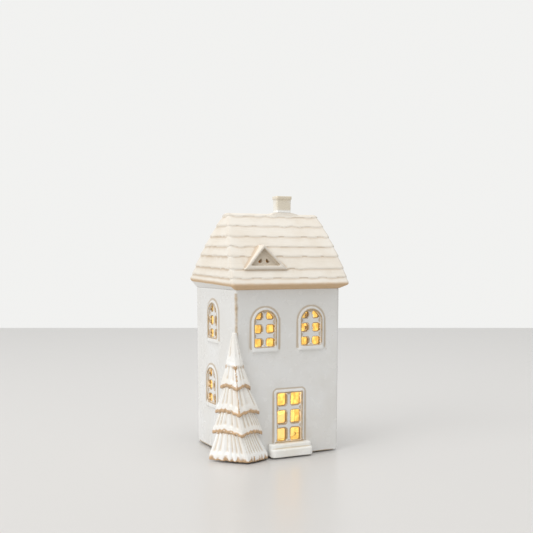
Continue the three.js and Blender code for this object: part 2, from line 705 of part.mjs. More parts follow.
// The doorstep, a slab with a shallower one on it, both with rounded ends and softened upper edges.
function doorStep() {
  const wall = HOUSE_DEPTH / 2 - draftAt(WALL_FOOT + STEP_RISE) + SEAT_GAP;
  const slabBlock = (bottom, top, reach) => {
    const level = (z, bevel) => ({
      z,
      halfX: STEP_WIDTH / 2 - bevel,
      halfY: reach - bevel,
      radius: STEP_END_RADIUS - bevel,
    });
    return roundedBlock([level(bottom, 0), level(top - STEP_BEVEL, 0), level(top, STEP_BEVEL)]);
  };
  const shelf = WALL_FOOT + LOWER_SLAB_RISE;
  const lower = slabBlock(WALL_FOOT, shelf, LOWER_SLAB_REACH);
  const upper = slabBlock(shelf - STEP_BEVEL, WALL_FOOT + STEP_RISE - SEAT_GAP, UPPER_SLAB_REACH);
  const behind = block([-STEP_WIDTH, 0, 0], [STEP_WIDTH, HOUSE_DEPTH, WALL_TOP]);
  return lower.add(upper).subtract(behind).translate([STEP_OFFSET, -wall, 0]);
}

// A mix of two tiers' tips, from the first at 0 to the second at 1.
function mixedTier(from, to, share) {
  const mix = (key) => from[key].map((value, i) => THREE.MathUtils.lerp(value, to[key][i], share));
  return { left: mix("left"), ridge: mix("ridge"), right: mix("right") };
}

// A tier's outline round the corner, with grooved faces between its tips. Each point also says how far
// it lies from a tip, from 0 at a tip to 1 halfway between two.
function tierOutline(tier, fluteDepth) {
  const [left, ridge, right] = [tier.left, tier.ridge, tier.right].map((tip) =>
    new THREE.Vector2(...tip).multiplyScalar(TREE_HEIGHT).add(CORNER),
  );
  const root = CORNER.clone().addScalar(TREE_ROOT);
  const inside = 2 * WALL_DRAFT;
  const leftRoot = new THREE.Vector2(CORNER.x + inside, left.y + (CORNER.x - left.x) / 2);
  leftRoot.y = Math.max(leftRoot.y, CORNER.y + inside + WALL_DRAFT);
  const rightRoot = new THREE.Vector2(Math.max(right.x, CORNER.x + inside + WALL_DRAFT), CORNER.y + inside);
  const points = [{ at: root, between: 0 }, { at: leftRoot, between: 0 }];
  for (const [from, to] of [[left, ridge], [ridge, right]]) {
    const outward = new THREE.Vector2(to.y - from.y, from.x - to.x).normalize();
    for (let i = 0; i < TREE_FACET_STEPS; i++) {
      const share = i / TREE_FACET_STEPS;
      const groove = i % 2 === 1 ? -fluteDepth : 0;
      const at = from.clone().lerp(to, share).addScaledVector(outward, groove);
      points.push({ at, between: Math.sin(Math.PI * share) });
    }
  }
  points.push({ at: right, between: 0 }, { at: rightRoot, between: 0 });
  return points;
}

// One ring of a tier at a height, arched up between its tips.
function tierRing(tier, height, arch, fluteDepth) {
  return tierOutline(tier, fluteDepth).map(
    ({ at, between }) => new THREE.Vector3(at.x, at.y, height + arch * between),
  );
}

// One tier of branches, with a thick drooping rim below and a neck that runs up into the tier above.
function treeTier(number) {
  const tier = TREE_TIERS[number];
  const above = TREE_TIERS[number - 1];
  const rim = WALL_FOOT + tier.rim * TREE_HEIGHT;
  const neck = above ? mixedTier(TREE_TIP, above, TREE_NECK) : TREE_TIP;
  const top = above ? WALL_FOOT + above.rim * TREE_HEIGHT + TREE_NECK_RISE : WALL_FOOT + TREE_HEIGHT;
  const isFoot = number === TREE_TIERS.length - 1;
  const arch = isFoot ? 0 : TREE_ARCH;
  const rings = [
    tierRing(tier, rim, arch, TREE_FLUTE),
    tierRing(mixedTier(tier, neck, 0.04), rim + TREE_LIP, arch, TREE_FLUTE),
    tierRing(mixedTier(tier, neck, 0.45), THREE.MathUtils.lerp(rim, top, 0.4), arch / 2, TREE_FLUTE),
    tierRing(neck, top, 0, 0),
  ];
  if (!isFoot) {
    rings.unshift(tierRing(mixedTier(TREE_TIP, tier, TREE_NECK), rim + TREE_UNDERCUT, arch / 2, 0));
  }
  return loft(rings);
}

// The glazed fir tree, which wraps the house's corner and stops short of the doorstep.
function tree() {
  const tiers = TREE_TIERS.map((tier, number) => treeTier(number));
  const house = wallBlock(SEAT_GAP, WALL_FOOT - CUT_EXTRA, WALL_TOP);
  const whole = joined(tiers).subtract(house).trimByPlane([0, 0, 1], WALL_FOOT);
  return withoutPockets(whole);
}

// A soft pad under one corner of the house.
function pad() {
  return cylinder(PAD_RADIUS, 0, PAD_HEIGHT, [0, 0], 24);
}

// A pan-headed screw that points up, with its head's underside at height 0 and a cross slot.
function screw(length) {
  const body = turned(
    [
      [0, length],
      [SCREW_RADIUS * 0.5, length - SCREW_RADIUS / 2],
      [SCREW_RADIUS, length - 2 * SCREW_RADIUS],
      [SCREW_RADIUS, 0],
      [SCREW_HEAD_RADIUS, 0],
      [SCREW_HEAD_RADIUS, -SCREW_HEAD_HEIGHT * 0.6],
      [SCREW_HEAD_RADIUS * 0.8, -SCREW_HEAD_HEIGHT],
      [0, -SCREW_HEAD_HEIGHT],
    ],
    20,
  );
  const slot = (x, y) =>
    block([-x, -y, -SCREW_HEAD_HEIGHT - CUT_EXTRA], [x, y, -SCREW_HEAD_HEIGHT + SCREW_SLOT_DEPTH]);
  const long = SCREW_HEAD_RADIUS * 0.6;
  return body.subtract(slot(long, SCREW_SLOT_WIDTH / 2)).subtract(slot(SCREW_SLOT_WIDTH / 2, long));
}

// The two places of the screws that hold the lamp's cup to its base.
const COVER_SCREWS = [-1, 1].map((side) => [side * COVER_SCREW_ALONG, COVER_SCREW_BACK]);
const COVER_SCREW_SEAT = FLANGE_BOTTOM + SCREW_HEAD_HEIGHT + 0.2;
const DOOR_SCREW_SEAT = COVER_SCREW_SEAT;
const DOOR_SCREW_PLACE = [DOOR_SCREW_ALONG, CELL_OFFSET];

// The outline of the battery door, a rectangle with an ear for its screw, grown by a gap.
function doorPlateShape(grow) {
  const x = TUB_HALF_LENGTH + DOOR_PLATE_MARGIN + grow;
  const y = TUB_HALF_WIDTH + DOOR_PLATE_MARGIN + grow;
  const ear = DOOR_EAR_WIDTH / 2 + grow;
  const end = x + DOOR_EAR_LENGTH;
  const shape = new THREE.Shape();
  shape.moveTo(-x, -y);
  shape.lineTo(x, -y);
  shape.lineTo(x, -ear);
  shape.lineTo(end - ear, -ear);
  shape.absarc(end - ear, 0, ear, -Math.PI / 2, Math.PI / 2);
  shape.lineTo(x, ear);
  shape.lineTo(x, y);
  shape.lineTo(-x, y);
  shape.lineTo(-x, -y);
  return shape;
}

// The places of the two pegs that locate the battery door.
function pegPlaces() {
  const x = -(TUB_HALF_LENGTH + DOOR_PLATE_MARGIN / 2);
  return [-1, 1].map((side) => [x, CELL_OFFSET + (side * DOOR_PEG_SPREAD) / 2]);
}

// The lamp's base: a flange that covers the hole, a deck inside the cup, and the battery compartment.
function lampBase() {
  const flange = cylinder(FLANGE_RADIUS, FLANGE_BOTTOM, FLANGE_TOP);
  const deck = cylinder(CUP_INNER_RADIUS - LINE_FIT, FLANGE_TOP, DECK_TOP);
  const x = TUB_HALF_LENGTH;
  const y = TUB_HALF_WIDTH;
  const tub = block(
    [-x - TUB_WALL, CELL_OFFSET - y - TUB_WALL, FLANGE_TOP],
    [x + TUB_WALL, CELL_OFFSET + y + TUB_WALL, TUB_TOP],
  );
  const boss = cylinder(BOSS_RADIUS, FLANGE_TOP, DECK_TOP + BOSS_HEIGHT, DOOR_SCREW_PLACE, 20);
  const mouth = block(
    [-x, CELL_OFFSET - y, FLANGE_BOTTOM - CUT_EXTRA],
    [x, CELL_OFFSET + y, TUB_INNER_TOP],
  );
  const doorSeat = slab(
    doorPlateShape(DOOR_PLATE_GAP),
    FLANGE_BOTTOM - CUT_EXTRA,
    FLANGE_TOP,
  ).translate([0, CELL_OFFSET, 0]);
  const slotHalf = (SWITCH_TRAVEL + SLIDER_STEM) / 2 + SEAT_GAP;
  const switchSlot = block(
    [-slotHalf, SWITCH_BACK - SLIDER_STEM / 2 - SEAT_GAP, FLANGE_BOTTOM - CUT_EXTRA],
    [slotHalf, SWITCH_BACK + SLIDER_STEM / 2 + SEAT_GAP, DECK_TOP + CUT_EXTRA],
  );
  const shank = SCREW_RADIUS + SCREW_HOLE_CLEARANCE;
  const head = SCREW_HEAD_RADIUS + SCREW_HOLE_CLEARANCE;
  const below = FLANGE_BOTTOM - CUT_EXTRA;
  const cuts = [mouth, doorSeat, switchSlot];
  const bossTop = DECK_TOP + BOSS_HEIGHT;
  cuts.push(cylinder(shank, FLANGE_TOP - CUT_EXTRA, bossTop + CUT_EXTRA, DOOR_SCREW_PLACE, 20));
  for (const place of COVER_SCREWS) {
    cuts.push(cylinder(shank, below, DECK_TOP + CUT_EXTRA, place, 20));
    cuts.push(cylinder(head, below, COVER_SCREW_SEAT, place, 20));
  }
  for (const place of pegPlaces()) {
    const holeRadius = DOOR_PEG_RADIUS + SCREW_HOLE_CLEARANCE;
    const holeTop = DOOR_PLATE_TOP + DOOR_PEG_HEIGHT + SEAT_GAP;
    cuts.push(cylinder(holeRadius, FLANGE_TOP - CUT_EXTRA, holeTop, place, 12));
  }
  return cuts.reduce((whole, cut) => whole.subtract(cut), joined([flange, deck, tub, boss]));
}

// The lamp's cup, which stands on the flange and carries the diffuser and two screw bosses.
function lampCup() {
  const outer = cylinder(CUP_RADIUS, FLANGE_TOP, CUP_TOP);
  const inner = cylinder(CUP_INNER_RADIUS, FLANGE_TOP - CUT_EXTRA, CUP_TOP - CUP_WALL);
  const ringOuter = DIFFUSER_RADIUS + DIFFUSER_FLANGE + LINE_FIT + DIFFUSER_RIM_WALL;
  const ring = cylinder(ringOuter, CUP_TOP - CUP_WALL, CUP_TOP + DIFFUSER_WALL);
  const ringHole = cylinder(ringOuter - DIFFUSER_RIM_WALL, CUP_TOP, CUP_TOP + DIFFUSER_WALL + CUT_EXTRA);
  const ledHole = cylinder(LED_FLANGE_RADIUS + SEAT_GAP, CUP_TOP - CUP_WALL - CUT_EXTRA, CUP_TOP + CUT_EXTRA);
  const bosses = COVER_SCREWS.map((place) =>
    cylinder(BOSS_RADIUS, DECK_TOP + SEAT_GAP, CUP_TOP - CUP_WALL / 2, place, 20),
  );
  const bossClip = cylinder(CUP_RADIUS - CUP_WALL / 2, FLANGE_TOP, CUP_TOP);
  const holes = COVER_SCREWS.map((place) =>
    cylinder(
      SCREW_RADIUS + SCREW_HOLE_CLEARANCE,
      DECK_TOP,
      COVER_SCREW_SEAT + COVER_SCREW_LENGTH + CUT_EXTRA,
      place,
      20,
    ),
  );
  const shell = joined([outer, ring]).subtract(inner).subtract(ringHole).subtract(ledHole);
  return holes.reduce(
    (whole, hole) => whole.subtract(hole),
    joined([shell, ...bosses.map((boss) => boss.intersect(bossClip))]),
  );
}

// The soft ring on the cup that grips the lamp hole with its ribs.
function lampSeal() {
  const inner = CUP_RADIUS + LINE_FIT;
  const outer = inner + SEAL_WALL;
  const lip = LAMP_HOLE_RADIUS - LINE_FIT;
  const pitch = (SEAL_HEIGHT - SEAT_GAP) / SEAL_RIBS;
  const profile = [
    [inner, FLANGE_TOP + SEAL_HEIGHT],
    [inner, FLANGE_TOP],
  ];
  for (let rib = 0; rib < SEAL_RIBS; rib++) {
    const low = FLANGE_TOP + SEAT_GAP + rib * pitch;
    profile.push([outer, low], [lip, low + pitch / 2], [outer, low + pitch * 0.9]);
  }
  profile.push([outer, FLANGE_TOP + SEAL_HEIGHT], [inner, FLANGE_TOP + SEAL_HEIGHT]);
  return turned(profile.reverse());
}

// The battery door, with two pegs at one end and a counterbored ear at the other.
function batteryDoor() {
  const plate = slab(doorPlateShape(0), FLANGE_BOTTOM, DOOR_PLATE_TOP).translate([0, CELL_OFFSET, 0]);
  const pegs = pegPlaces().map((place) =>
    cylinder(DOOR_PEG_RADIUS, DOOR_PLATE_TOP - 1, DOOR_PLATE_TOP + DOOR_PEG_HEIGHT, place, 12),
  );
  const shank = SCREW_RADIUS + SCREW_HOLE_CLEARANCE;
  const head = SCREW_HEAD_RADIUS + SCREW_HOLE_CLEARANCE;
  return joined([plate, ...pegs])
    .subtract(cylinder(shank, FLANGE_BOTTOM - CUT_EXTRA, DOOR_PLATE_TOP + CUT_EXTRA, DOOR_SCREW_PLACE, 20))
    .subtract(cylinder(head, FLANGE_BOTTOM - CUT_EXTRA, DOOR_SCREW_SEAT, DOOR_SCREW_PLACE, 20));
}

// One button cell with its axis along X, its cap towards -X and its middle at the origin.
function buttonCell() {
  const half = CELL_LENGTH / 2;
  const bevel = 0.4;
  return turned(
    [
      [0, half],
      [CELL_RADIUS - bevel, half],
      [CELL_RADIUS, half - bevel],
      [CELL_RADIUS, -half + CELL_CAP_LENGTH],
      [CELL_CAP_RADIUS, -half + CELL_CAP_LENGTH],
      [CELL_CAP_RADIUS, -half],
      [0, -half],
    ],
    28,
  ).rotate([0, 90, 0]);
}

// A springy contact strip at the -X end of the compartment, bulging towards the cells.
function contactStrip() {
  const wall = -TUB_HALF_LENGTH + SEAT_GAP;
  const touch = (-CELL_COUNT * CELL_LENGTH) / 2 - SEAT_GAP;
  const half = CONTACT_HEIGHT / 2;
  const curve = new THREE.CubicBezierCurve(
    new THREE.Vector2(wall, -half / 2),
    new THREE.Vector2(touch + 0.3, -half / 4),
    new THREE.Vector2(touch + 0.3, half / 4),
    new THREE.Vector2(wall, half / 2),
  );
  const outer = [
    new THREE.Vector2(wall, -half),
    ...curve.getPoints(8),
    new THREE.Vector2(wall, half),
  ].map((point) => [Math.min(point.x, touch - CONTACT_THICKNESS), point.y]);
  const front = outer.map(([x, y]) => [x + CONTACT_THICKNESS, y]);
  const shape = polygon([...front, ...outer.reverse()]);
  return slab(shape, -CONTACT_WIDTH / 2, CONTACT_WIDTH / 2)
    .rotate([90, 0, 0])
    .translate([0, CELL_OFFSET, CELL_HEIGHT]);
}

// The round circuit board, notched round the cup's bosses and drilled for the diode's legs.
function circuitBoard() {
  let board = cylinder(BOARD_RADIUS, BOARD_BOTTOM, BOARD_TOP, [0, 0], 40);
  for (const place of COVER_SCREWS) {
    board = board.subtract(
      cylinder(BOSS_RADIUS + SEAT_GAP, BOARD_BOTTOM - CUT_EXTRA, BOARD_TOP + CUT_EXTRA, place, 20),
    );
  }
  for (const side of [-1, 1]) {
    const place = [(side * LED_LEG_SPACING) / 2, 0];
    const radius = LED_LEG_WIDTH / 2 + SEAT_GAP;
    board = board.subtract(cylinder(radius, BOARD_BOTTOM - CUT_EXTRA, BOARD_TOP + CUT_EXTRA, place, 10));
  }
  return board;
}

// The light-emitting diode: a round clear body on a flange, with two legs through the board.
function ledBulb() {
  const bottom = BOARD_TOP + LED_STANDOFF;
  const shoulder = bottom + LED_FLANGE_HEIGHT + LED_BODY_HEIGHT;
  const dome = [];
  for (let i = 0; i <= 5; i++) {
    const angle = (Math.PI / 2) * (1 - i / 5);
    dome.push([LED_RADIUS * Math.cos(angle), shoulder + LED_RADIUS * Math.sin(angle)]);
  }
  dome[0][0] = 0;
  const body = turned(
    [
      ...dome,
      [LED_RADIUS, bottom + LED_FLANGE_HEIGHT],
      [LED_FLANGE_RADIUS, bottom + LED_FLANGE_HEIGHT],
      [LED_FLANGE_RADIUS, bottom],
      [0, bottom],
    ],
    24,
  );
  const legs = [-1, 1].map((side) => {
    const x = (side * LED_LEG_SPACING) / 2;
    const half = LED_LEG_WIDTH / 2;
    return block([x - half, -half, BOARD_BOTTOM + SEAT_GAP / 2], [x + half, half, bottom + half]);
  });
  return joined([body, ...legs]);
}

// The frosted dome that spreads the diode's light.
function diffuser() {
  const arc = (radius, bottom) => {
    const points = [];
    for (let i = 0; i <= 5; i++) {
      const angle = (Math.PI / 2) * (1 - i / 5);
      points.push([radius * Math.cos(angle), bottom + radius * Math.sin(angle)]);
    }
    points[0][0] = 0;
    return points;
  };
  const step = CUP_TOP + DIFFUSER_WALL;
  const outside = arc(DIFFUSER_RADIUS, step);
  const inside = arc(DIFFUSER_RADIUS - DIFFUSER_WALL, step).reverse();
  return turned(
    [
      ...outside,
      [DIFFUSER_RADIUS + DIFFUSER_FLANGE, step],
      [DIFFUSER_RADIUS + DIFFUSER_FLANGE, CUP_TOP],
      [DIFFUSER_RADIUS - DIFFUSER_WALL, CUP_TOP],
      ...inside,
    ],
    24,
  );
}

// The slide switch's case, open below for its slider.
function switchCase() {
  const half = SWITCH_LENGTH / 2;
  const room = (SWITCH_TRAVEL + SLIDER_SHOE) / 2 + SEAT_GAP;
  const body = block(
    [-half, SWITCH_BACK - SWITCH_WIDTH / 2, DECK_TOP],
    [half, SWITCH_BACK + SWITCH_WIDTH / 2, DECK_TOP + SWITCH_HEIGHT],
  );
  const shoe = SLIDER_STEM / 2 + 2 * SEAT_GAP;
  return body.subtract(
    block(
      [-room, SWITCH_BACK - shoe, DECK_TOP - CUT_EXTRA],
      [room, SWITCH_BACK + shoe, DECK_TOP + SLIDER_SHOE_HEIGHT + 2 * SEAT_GAP],
    ),
  );
}

// The switch's slider, drawn at the on end of its travel: a shoe in the case and a ribbed knob below.
function switchSlider() {
  const x = SWITCH_TRAVEL / 2;
  const half = SLIDER_STEM / 2;
  const shoeBottom = DECK_TOP + SEAT_GAP;
  const shoe = block(
    [x - SLIDER_SHOE / 2, SWITCH_BACK - half - SEAT_GAP, shoeBottom],
    [x + SLIDER_SHOE / 2, SWITCH_BACK + half + SEAT_GAP, shoeBottom + SLIDER_SHOE_HEIGHT],
  );
  const stem = block(
    [x - half, SWITCH_BACK - half, FLANGE_BOTTOM - SLIDER_PROUD],
    [x + half, SWITCH_BACK + half, shoeBottom + SLIDER_SHOE_HEIGHT / 2],
  );
  const groove = (offset) =>
    block(
      [x + offset - 0.2, SWITCH_BACK - half - CUT_EXTRA, FLANGE_BOTTOM - SLIDER_PROUD - CUT_EXTRA],
      [x + offset + 0.2, SWITCH_BACK + half + CUT_EXTRA, FLANGE_BOTTOM - SLIDER_PROUD + 0.3],
    );
  return joined([shoe, stem]).subtract(groove(-0.45)).subtract(groove(0.45));
}

// The small resistor on the board.
function resistor() {
  const [length, width, height] = RESISTOR_SIZE;
  const [x, y] = RESISTOR_PLACE;
  const low = [x - length / 2, y - width / 2, BOARD_TOP];
  return block(low, [x + length / 2, y + width / 2, BOARD_TOP + height]);
}

const materials = {
  wallGlaze: new THREE.MeshStandardMaterial({ color: 0xe6e4df, roughness: 0.28, metalness: 0 }),
  roofClay: new THREE.MeshStandardMaterial({ color: 0xead9c3, roughness: 0.85, metalness: 0 }),
  treeGlaze: new THREE.MeshStandardMaterial({ color: 0xf0ece4, roughness: 0.25, metalness: 0 }),
  chimneyGlaze: new THREE.MeshStandardMaterial({ color: 0xdcd2bc, roughness: 0.15, metalness: 0.2 }),
  whitePlastic: new THREE.MeshStandardMaterial({ color: 0xeeeeec, roughness: 0.5, metalness: 0 }),
  blackPlastic: new THREE.MeshStandardMaterial({ color: 0x1c1c1e, roughness: 0.5, metalness: 0 }),
  clearRubber: new THREE.MeshStandardMaterial({ color: 0xd8d8d4, roughness: 0.6, metalness: 0 }),
  frosted: new THREE.MeshStandardMaterial({ color: 0xf6f2e6, roughness: 0.4, metalness: 0 }),
  warmLens: new THREE.MeshStandardMaterial({ color: 0xffd27a, roughness: 0.2, metalness: 0 }),
  steel: new THREE.MeshStandardMaterial({ color: 0xb9bcc0, roughness: 0.3, metalness: 1 }),
  brassStrip: new THREE.MeshStandardMaterial({ color: 0xc9a75a, roughness: 0.35, metalness: 1 }),
  board: new THREE.MeshStandardMaterial({ color: 0x2f6b45, roughness: 0.6, metalness: 0 }),
};

// Makes a named mesh from a solid and adds it to a group.
function addPart(group, name, solid, material, position = [0, 0, 0]) {
  const mesh = new THREE.Mesh(geometryFrom(solid), material);
  mesh.name = name;
  mesh.position.set(...position);
  group.add(mesh);
  return mesh;
}

const lightUpHouse = new THREE.Group();
const ceramics = new THREE.Group();
const lamp = new THREE.Group();
lightUpHouse.add(ceramics, lamp);

addPart(ceramics, "wall_shell", wallShell(), materials.wallGlaze);
addPart(ceramics, "roof_shell", roofShell(), materials.roofClay);
addPart(ceramics, "chimney", chimney(), materials.chimneyGlaze);
addPart(ceramics, "door_step", doorStep(), materials.treeGlaze);
addPart(ceramics, "fir_tree", tree(), materials.treeGlaze);

const padSpots = { front_left: [-1, -1], front_right: [1, -1], back_left: [-1, 1], back_right: [1, 1] };
for (const [name, [signX, signY]] of Object.entries(padSpots)) {
  const x = signX * (HOUSE_WIDTH / 2 - WALL_DRAFT - PAD_INSET);
  const y = signY * (HOUSE_DEPTH / 2 - WALL_DRAFT - PAD_INSET);
  addPart(ceramics, `foot_pad_${name}`, pad(), materials.clearRubber, [x, y, 0]);
}

addPart(lamp, "lamp_base", lampBase(), materials.whitePlastic);
addPart(lamp, "lamp_cup", lampCup(), materials.whitePlastic);
addPart(lamp, "lamp_seal", lampSeal(), materials.clearRubber);
addPart(lamp, "diffuser_dome", diffuser(), materials.frosted);
addPart(lamp, "led_bulb", ledBulb(), materials.warmLens);
addPart(lamp, "circuit_board", circuitBoard(), materials.board);
addPart(lamp, "resistor", resistor(), materials.blackPlastic);
addPart(lamp, "switch_case", switchCase(), materials.steel);
addPart(lamp, "switch_slider", switchSlider(), materials.blackPlastic);
addPart(lamp, "battery_door", batteryDoor(), materials.whitePlastic);
const doorScrewSpot = [...DOOR_SCREW_PLACE, DOOR_SCREW_SEAT];
addPart(lamp, "door_screw", screw(DOOR_SCREW_LENGTH), materials.steel, doorScrewSpot);
COVER_SCREWS.forEach((place, i) => {
  const name = `cover_screw_${["left", "right"][i]}`;
  addPart(lamp, name, screw(COVER_SCREW_LENGTH), materials.steel, [...place, COVER_SCREW_SEAT]);
});
for (let i = 0; i < CELL_COUNT; i++) {
  const x = (i - (CELL_COUNT - 1) / 2) * CELL_LENGTH;
  addPart(lamp, `button_cell_${i + 1}`, buttonCell(), materials.steel, [x, CELL_OFFSET, CELL_HEIGHT]);
}
addPart(lamp, "contact_negative", contactStrip(), materials.brassStrip);
addPart(lamp, "contact_positive", contactStrip().mirror([1, 0, 0]), materials.brassStrip);

// The origin goes under the middle of the whole piece, on the table.
const extent = new THREE.Box3().setFromObject(lightUpHouse);
const middle = extent.getCenter(new THREE.Vector3());
lightUpHouse.children.forEach((group) => group.position.set(-middle.x, -middle.y, 0));

export default lightUpHouse;
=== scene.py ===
"""The looks of a light-up ceramic Christmas house. Shapes are drawn in millimetres round the middle of the
house's walls, with the front facing -Y, and then moved to the model's own frame in metres."""

import bpy
import math
import numpy as np
from mathutils import Matrix, Vector
from mathutils.kdtree import KDTree


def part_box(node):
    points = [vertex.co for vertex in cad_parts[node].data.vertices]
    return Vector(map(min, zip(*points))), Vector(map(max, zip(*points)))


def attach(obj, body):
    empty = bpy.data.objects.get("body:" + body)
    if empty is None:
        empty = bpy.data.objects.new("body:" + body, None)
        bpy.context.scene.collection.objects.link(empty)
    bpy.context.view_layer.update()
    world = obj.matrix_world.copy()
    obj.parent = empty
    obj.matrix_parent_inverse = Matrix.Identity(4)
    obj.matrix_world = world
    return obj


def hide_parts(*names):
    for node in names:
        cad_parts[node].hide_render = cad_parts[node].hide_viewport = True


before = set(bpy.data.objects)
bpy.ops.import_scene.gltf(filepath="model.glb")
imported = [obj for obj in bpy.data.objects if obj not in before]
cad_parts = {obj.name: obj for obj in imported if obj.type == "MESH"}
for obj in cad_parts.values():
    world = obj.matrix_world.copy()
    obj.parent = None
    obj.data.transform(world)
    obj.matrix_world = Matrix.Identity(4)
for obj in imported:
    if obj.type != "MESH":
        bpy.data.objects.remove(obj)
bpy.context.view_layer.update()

MM = 0.001
lamp_low, lamp_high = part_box("lamp_base")
HOUSE_MIDDLE = Vector(((lamp_low[0] + lamp_high[0]) / 2, (lamp_low[1] + lamp_high[1]) / 2, 0))

# Sizes of the house, in millimetres, as in the model
HOUSE_WIDTH = 81.5
HOUSE_DEPTH = 73
WALL_FOOT = 1
WALL_TOP = 116
WALL_DRAFT = 1
WALL_THICKNESS = 4
WALL_EDGE_RADIUS = 2
FLOOR_BOTTOM = 5
FLOOR_TOP = 9
LAMP_HOLE_RADIUS = 22.03
FOOT_RECESS_RADIUS = 29.03

# How far out through the walls' thickness the lamp's light is painted on as a glow, in the side walls and in
# the others
SIDE_LIT_DEPTH = 1.6
LIT_DEPTH = 0.3
# The reveals, painted dark brown as shade, begin this far behind the walls' face and stay this far off the
# door's foot and the roof
REVEAL_SETBACK = 1.5
REVEAL_FOOT_GAP = 0.3
REVEAL_TOP_GAP = 4

WINDOW_WIDTH = 19.7
WINDOW_HEIGHT = 29.8
FRAME_WIDTH = 2.1
FRAME_PROUD = 0.9
BAR_SETBACK = 0.7
LEDGE_HEIGHT = 1.6
LEDGE_PROUD = 0.25
# Round each ledge the glaze is clean this far to the sides, down, up and behind the wall's face
CLEAN_SIDE = 1.8
CLEAN_DROP = 3
CLEAN_RISE = 1.4
CLEAN_DEPTH = 0.6
# The frames' outer ring, the groove inside it and the inner ring
OUTER_RING_SHARE = 0.6
RING_GROOVE = 0.6
INNER_RING = 1.05
WINDOW_SILL = 3.4
WINDOW_POST = 3.5
WINDOW_RAIL = 4.1
DOOR_WIDTH = 22.8
DOOR_BOTTOM = 9.8
DOOR_TOP = 46.1
DOOR_THRESHOLD = 0.7
DOOR_POST = 3.6
DOOR_RAIL = 3.7
DOOR_CORNER_RADIUS = 2
# Each opening's wall, in quarter turns from the front, its place along that wall and its sill's height
DOOR_PLACE = (0, 0.5, DOOR_BOTTOM)
WINDOW_PLACES = [
    (0, -18.35, 73.4),
    (0, 17.55, 73.4),
    (1, 3.3, 77.4),
    (1, 6.7, 30.6),
    (3, -3.3, 77.4),
    (3, -6.7, 30.6),
]

EAVE_HEIGHT = 119.6
EAVE_OVERHANG = 4.4
EAVE_OVERHANG_RIGHT = 6.1
EAVE_OVERHANG_BACK = 3.2
EAVE_RISE = 2.4
RIDGE_HEIGHT = 169.8
RIDGE_LENGTH = 72.7
RIDGE_DEPTH = 8
RIDGE_OFFSET = 3.05
RIDGE_FORWARD = 1.5
RIDGE_ROUNDING = 1.6
EAVE_ROUNDING = 1
ROOF_BULGE = 1.6
ROOF_THICKNESS = 4
ROOF_EDGE_RADIUS = 2.2
COURSE_SHARES = [0.091, 0.1235, 0.17, 0.137, 0.143, 0.152, 0.1435]
SHINGLE_LIP = 0.8
SHINGLE_LIFT = 0.35
SHINGLE_WAVE = 0.3

DORMER_OFFSET = -16.75
DORMER_SILL = 130
DORMER_WIDTH = 32.5
DORMER_HEIGHT = 17
DORMER_LEAN = 4
DORMER_PROUD = 1.2
DORMER_RAKE = 1.7
DORMER_RECESS = 3
DORMER_SILL_HEIGHT = 2.4
DORMER_PANE = 3.6
DORMER_PANE_RISE = 1.9
DORMER_BAR = 3.2

STEP_WIDTH = 32
STEP_OFFSET = 0.25
STEP_END_RADIUS = 3
STEP_LOWER_RISE = 5.6
STEP_LOWER_REACH = 6.2
STEP_UPPER_RISE = 3.2
STEP_UPPER_REACH = 4
STEP_EDGE = 1

CHIMNEY_OFFSET = 12.2
CHIMNEY_WIDTH = 12.1
CHIMNEY_DEPTH = 7.4
CHIMNEY_HEIGHT = 12.1
CHIMNEY_LIP = 0.45
CHIMNEY_LIP_HEIGHT = 2.4
CHIMNEY_SEAT_RISE = 1.1
CHIMNEY_SEAT_DROP = 3
CHIMNEY_SEAT_MARGIN = 0.4
CHIMNEY_SEAT_SPREAD = (5, 0.8)
CHIMNEY_SEAT_FOOT = (8, 1.6)
FLUE_WALL = 1.9
FLUE_DEPTH = 6
FLUE_RADIUS = 0.8
CHIMNEY_EDGE_RADIUS = 1.2
CHIMNEY_LIP_RADIUS = 1.6

TREE_HEIGHT = 86.5
TREE_CORNER = Vector((-HOUSE_WIDTH / 2, -HOUSE_DEPTH / 2))
TREE_TIERS = [
    {"rim": 0.712, "left": (-0.053, 0.076), "ridge": (-0.016, -0.043), "right": (0.062, -0.023)},
    {"rim": 0.548, "left": (-0.076, 0.126), "ridge": (-0.016, -0.069), "right": (0.117, -0.03)},
    {"rim": 0.349, "left": (-0.101, 0.172), "ridge": (-0.011, -0.094), "right": (0.192, -0.034)},
    {"rim": 0.19, "left": (-0.13, 0.167), "ridge": (0.011, -0.101), "right": (0.215, -0.037)},
    {"rim": 0.0, "left": (-0.176, 0.124), "ridge": (0.057, -0.117), "right": (0.263, -0.041)},
]
TREE_TIP = {"left": (-0.024, 0.011), "ridge": (-0.022, -0.014), "right": (0.001, -0.011)}
NECK_SHARE = 0.7
NECK_RISE = 5
ARCH = 2.2
SCALLOP = 0.7
FACE_BULGE = 0.8
FACE_STEPS = 84
FLUTES = [2, 3, 4, 6, 7]
FLUTE_DEPTH = 1.2
RIDGE_BARENESS = [0, 0.8, 0.85, 0.3, 0]
RIDGE_LINE_STEPS = 3
FOOT_BARE_RISE = 6.5
TOP_BAND_STEPS = 16
LIP_FLUTE = 0.35
# Each ring under a lip: its height over the rim, its share of the way out to the tips and how bare it is
UNDERSIDE_PROFILE = [(3.8, 0.6, 0.0), (1.7, 0.84, 0.2), (0.4, 0.95, 1.0)]
# Each ring of a lip: its height over the rim, how far it swells out and how bare of glaze it is
LIP_PROFILE = [(0, 0, 1.4), (0.7, 0.4, 1.05), (1.7, 0.45, 0.95), (2.6, 0.15, 0.5), (3.5, 0, 0)]
FOOT_PROFILE = [(0, 0, 1.4), (0.7, 0.12, 0.9), (1.4, 0.1, 0.2), (2.4, 0.05, 0), (3.2, 0, 0)]
SLOPE_RINGS = 16

# Stage, in metres: the table's near and far edge from the camera, and half its width
TABLE_START = -0.6
TABLE_END = 1.661
TABLE_HALF_WIDTH = 2.5

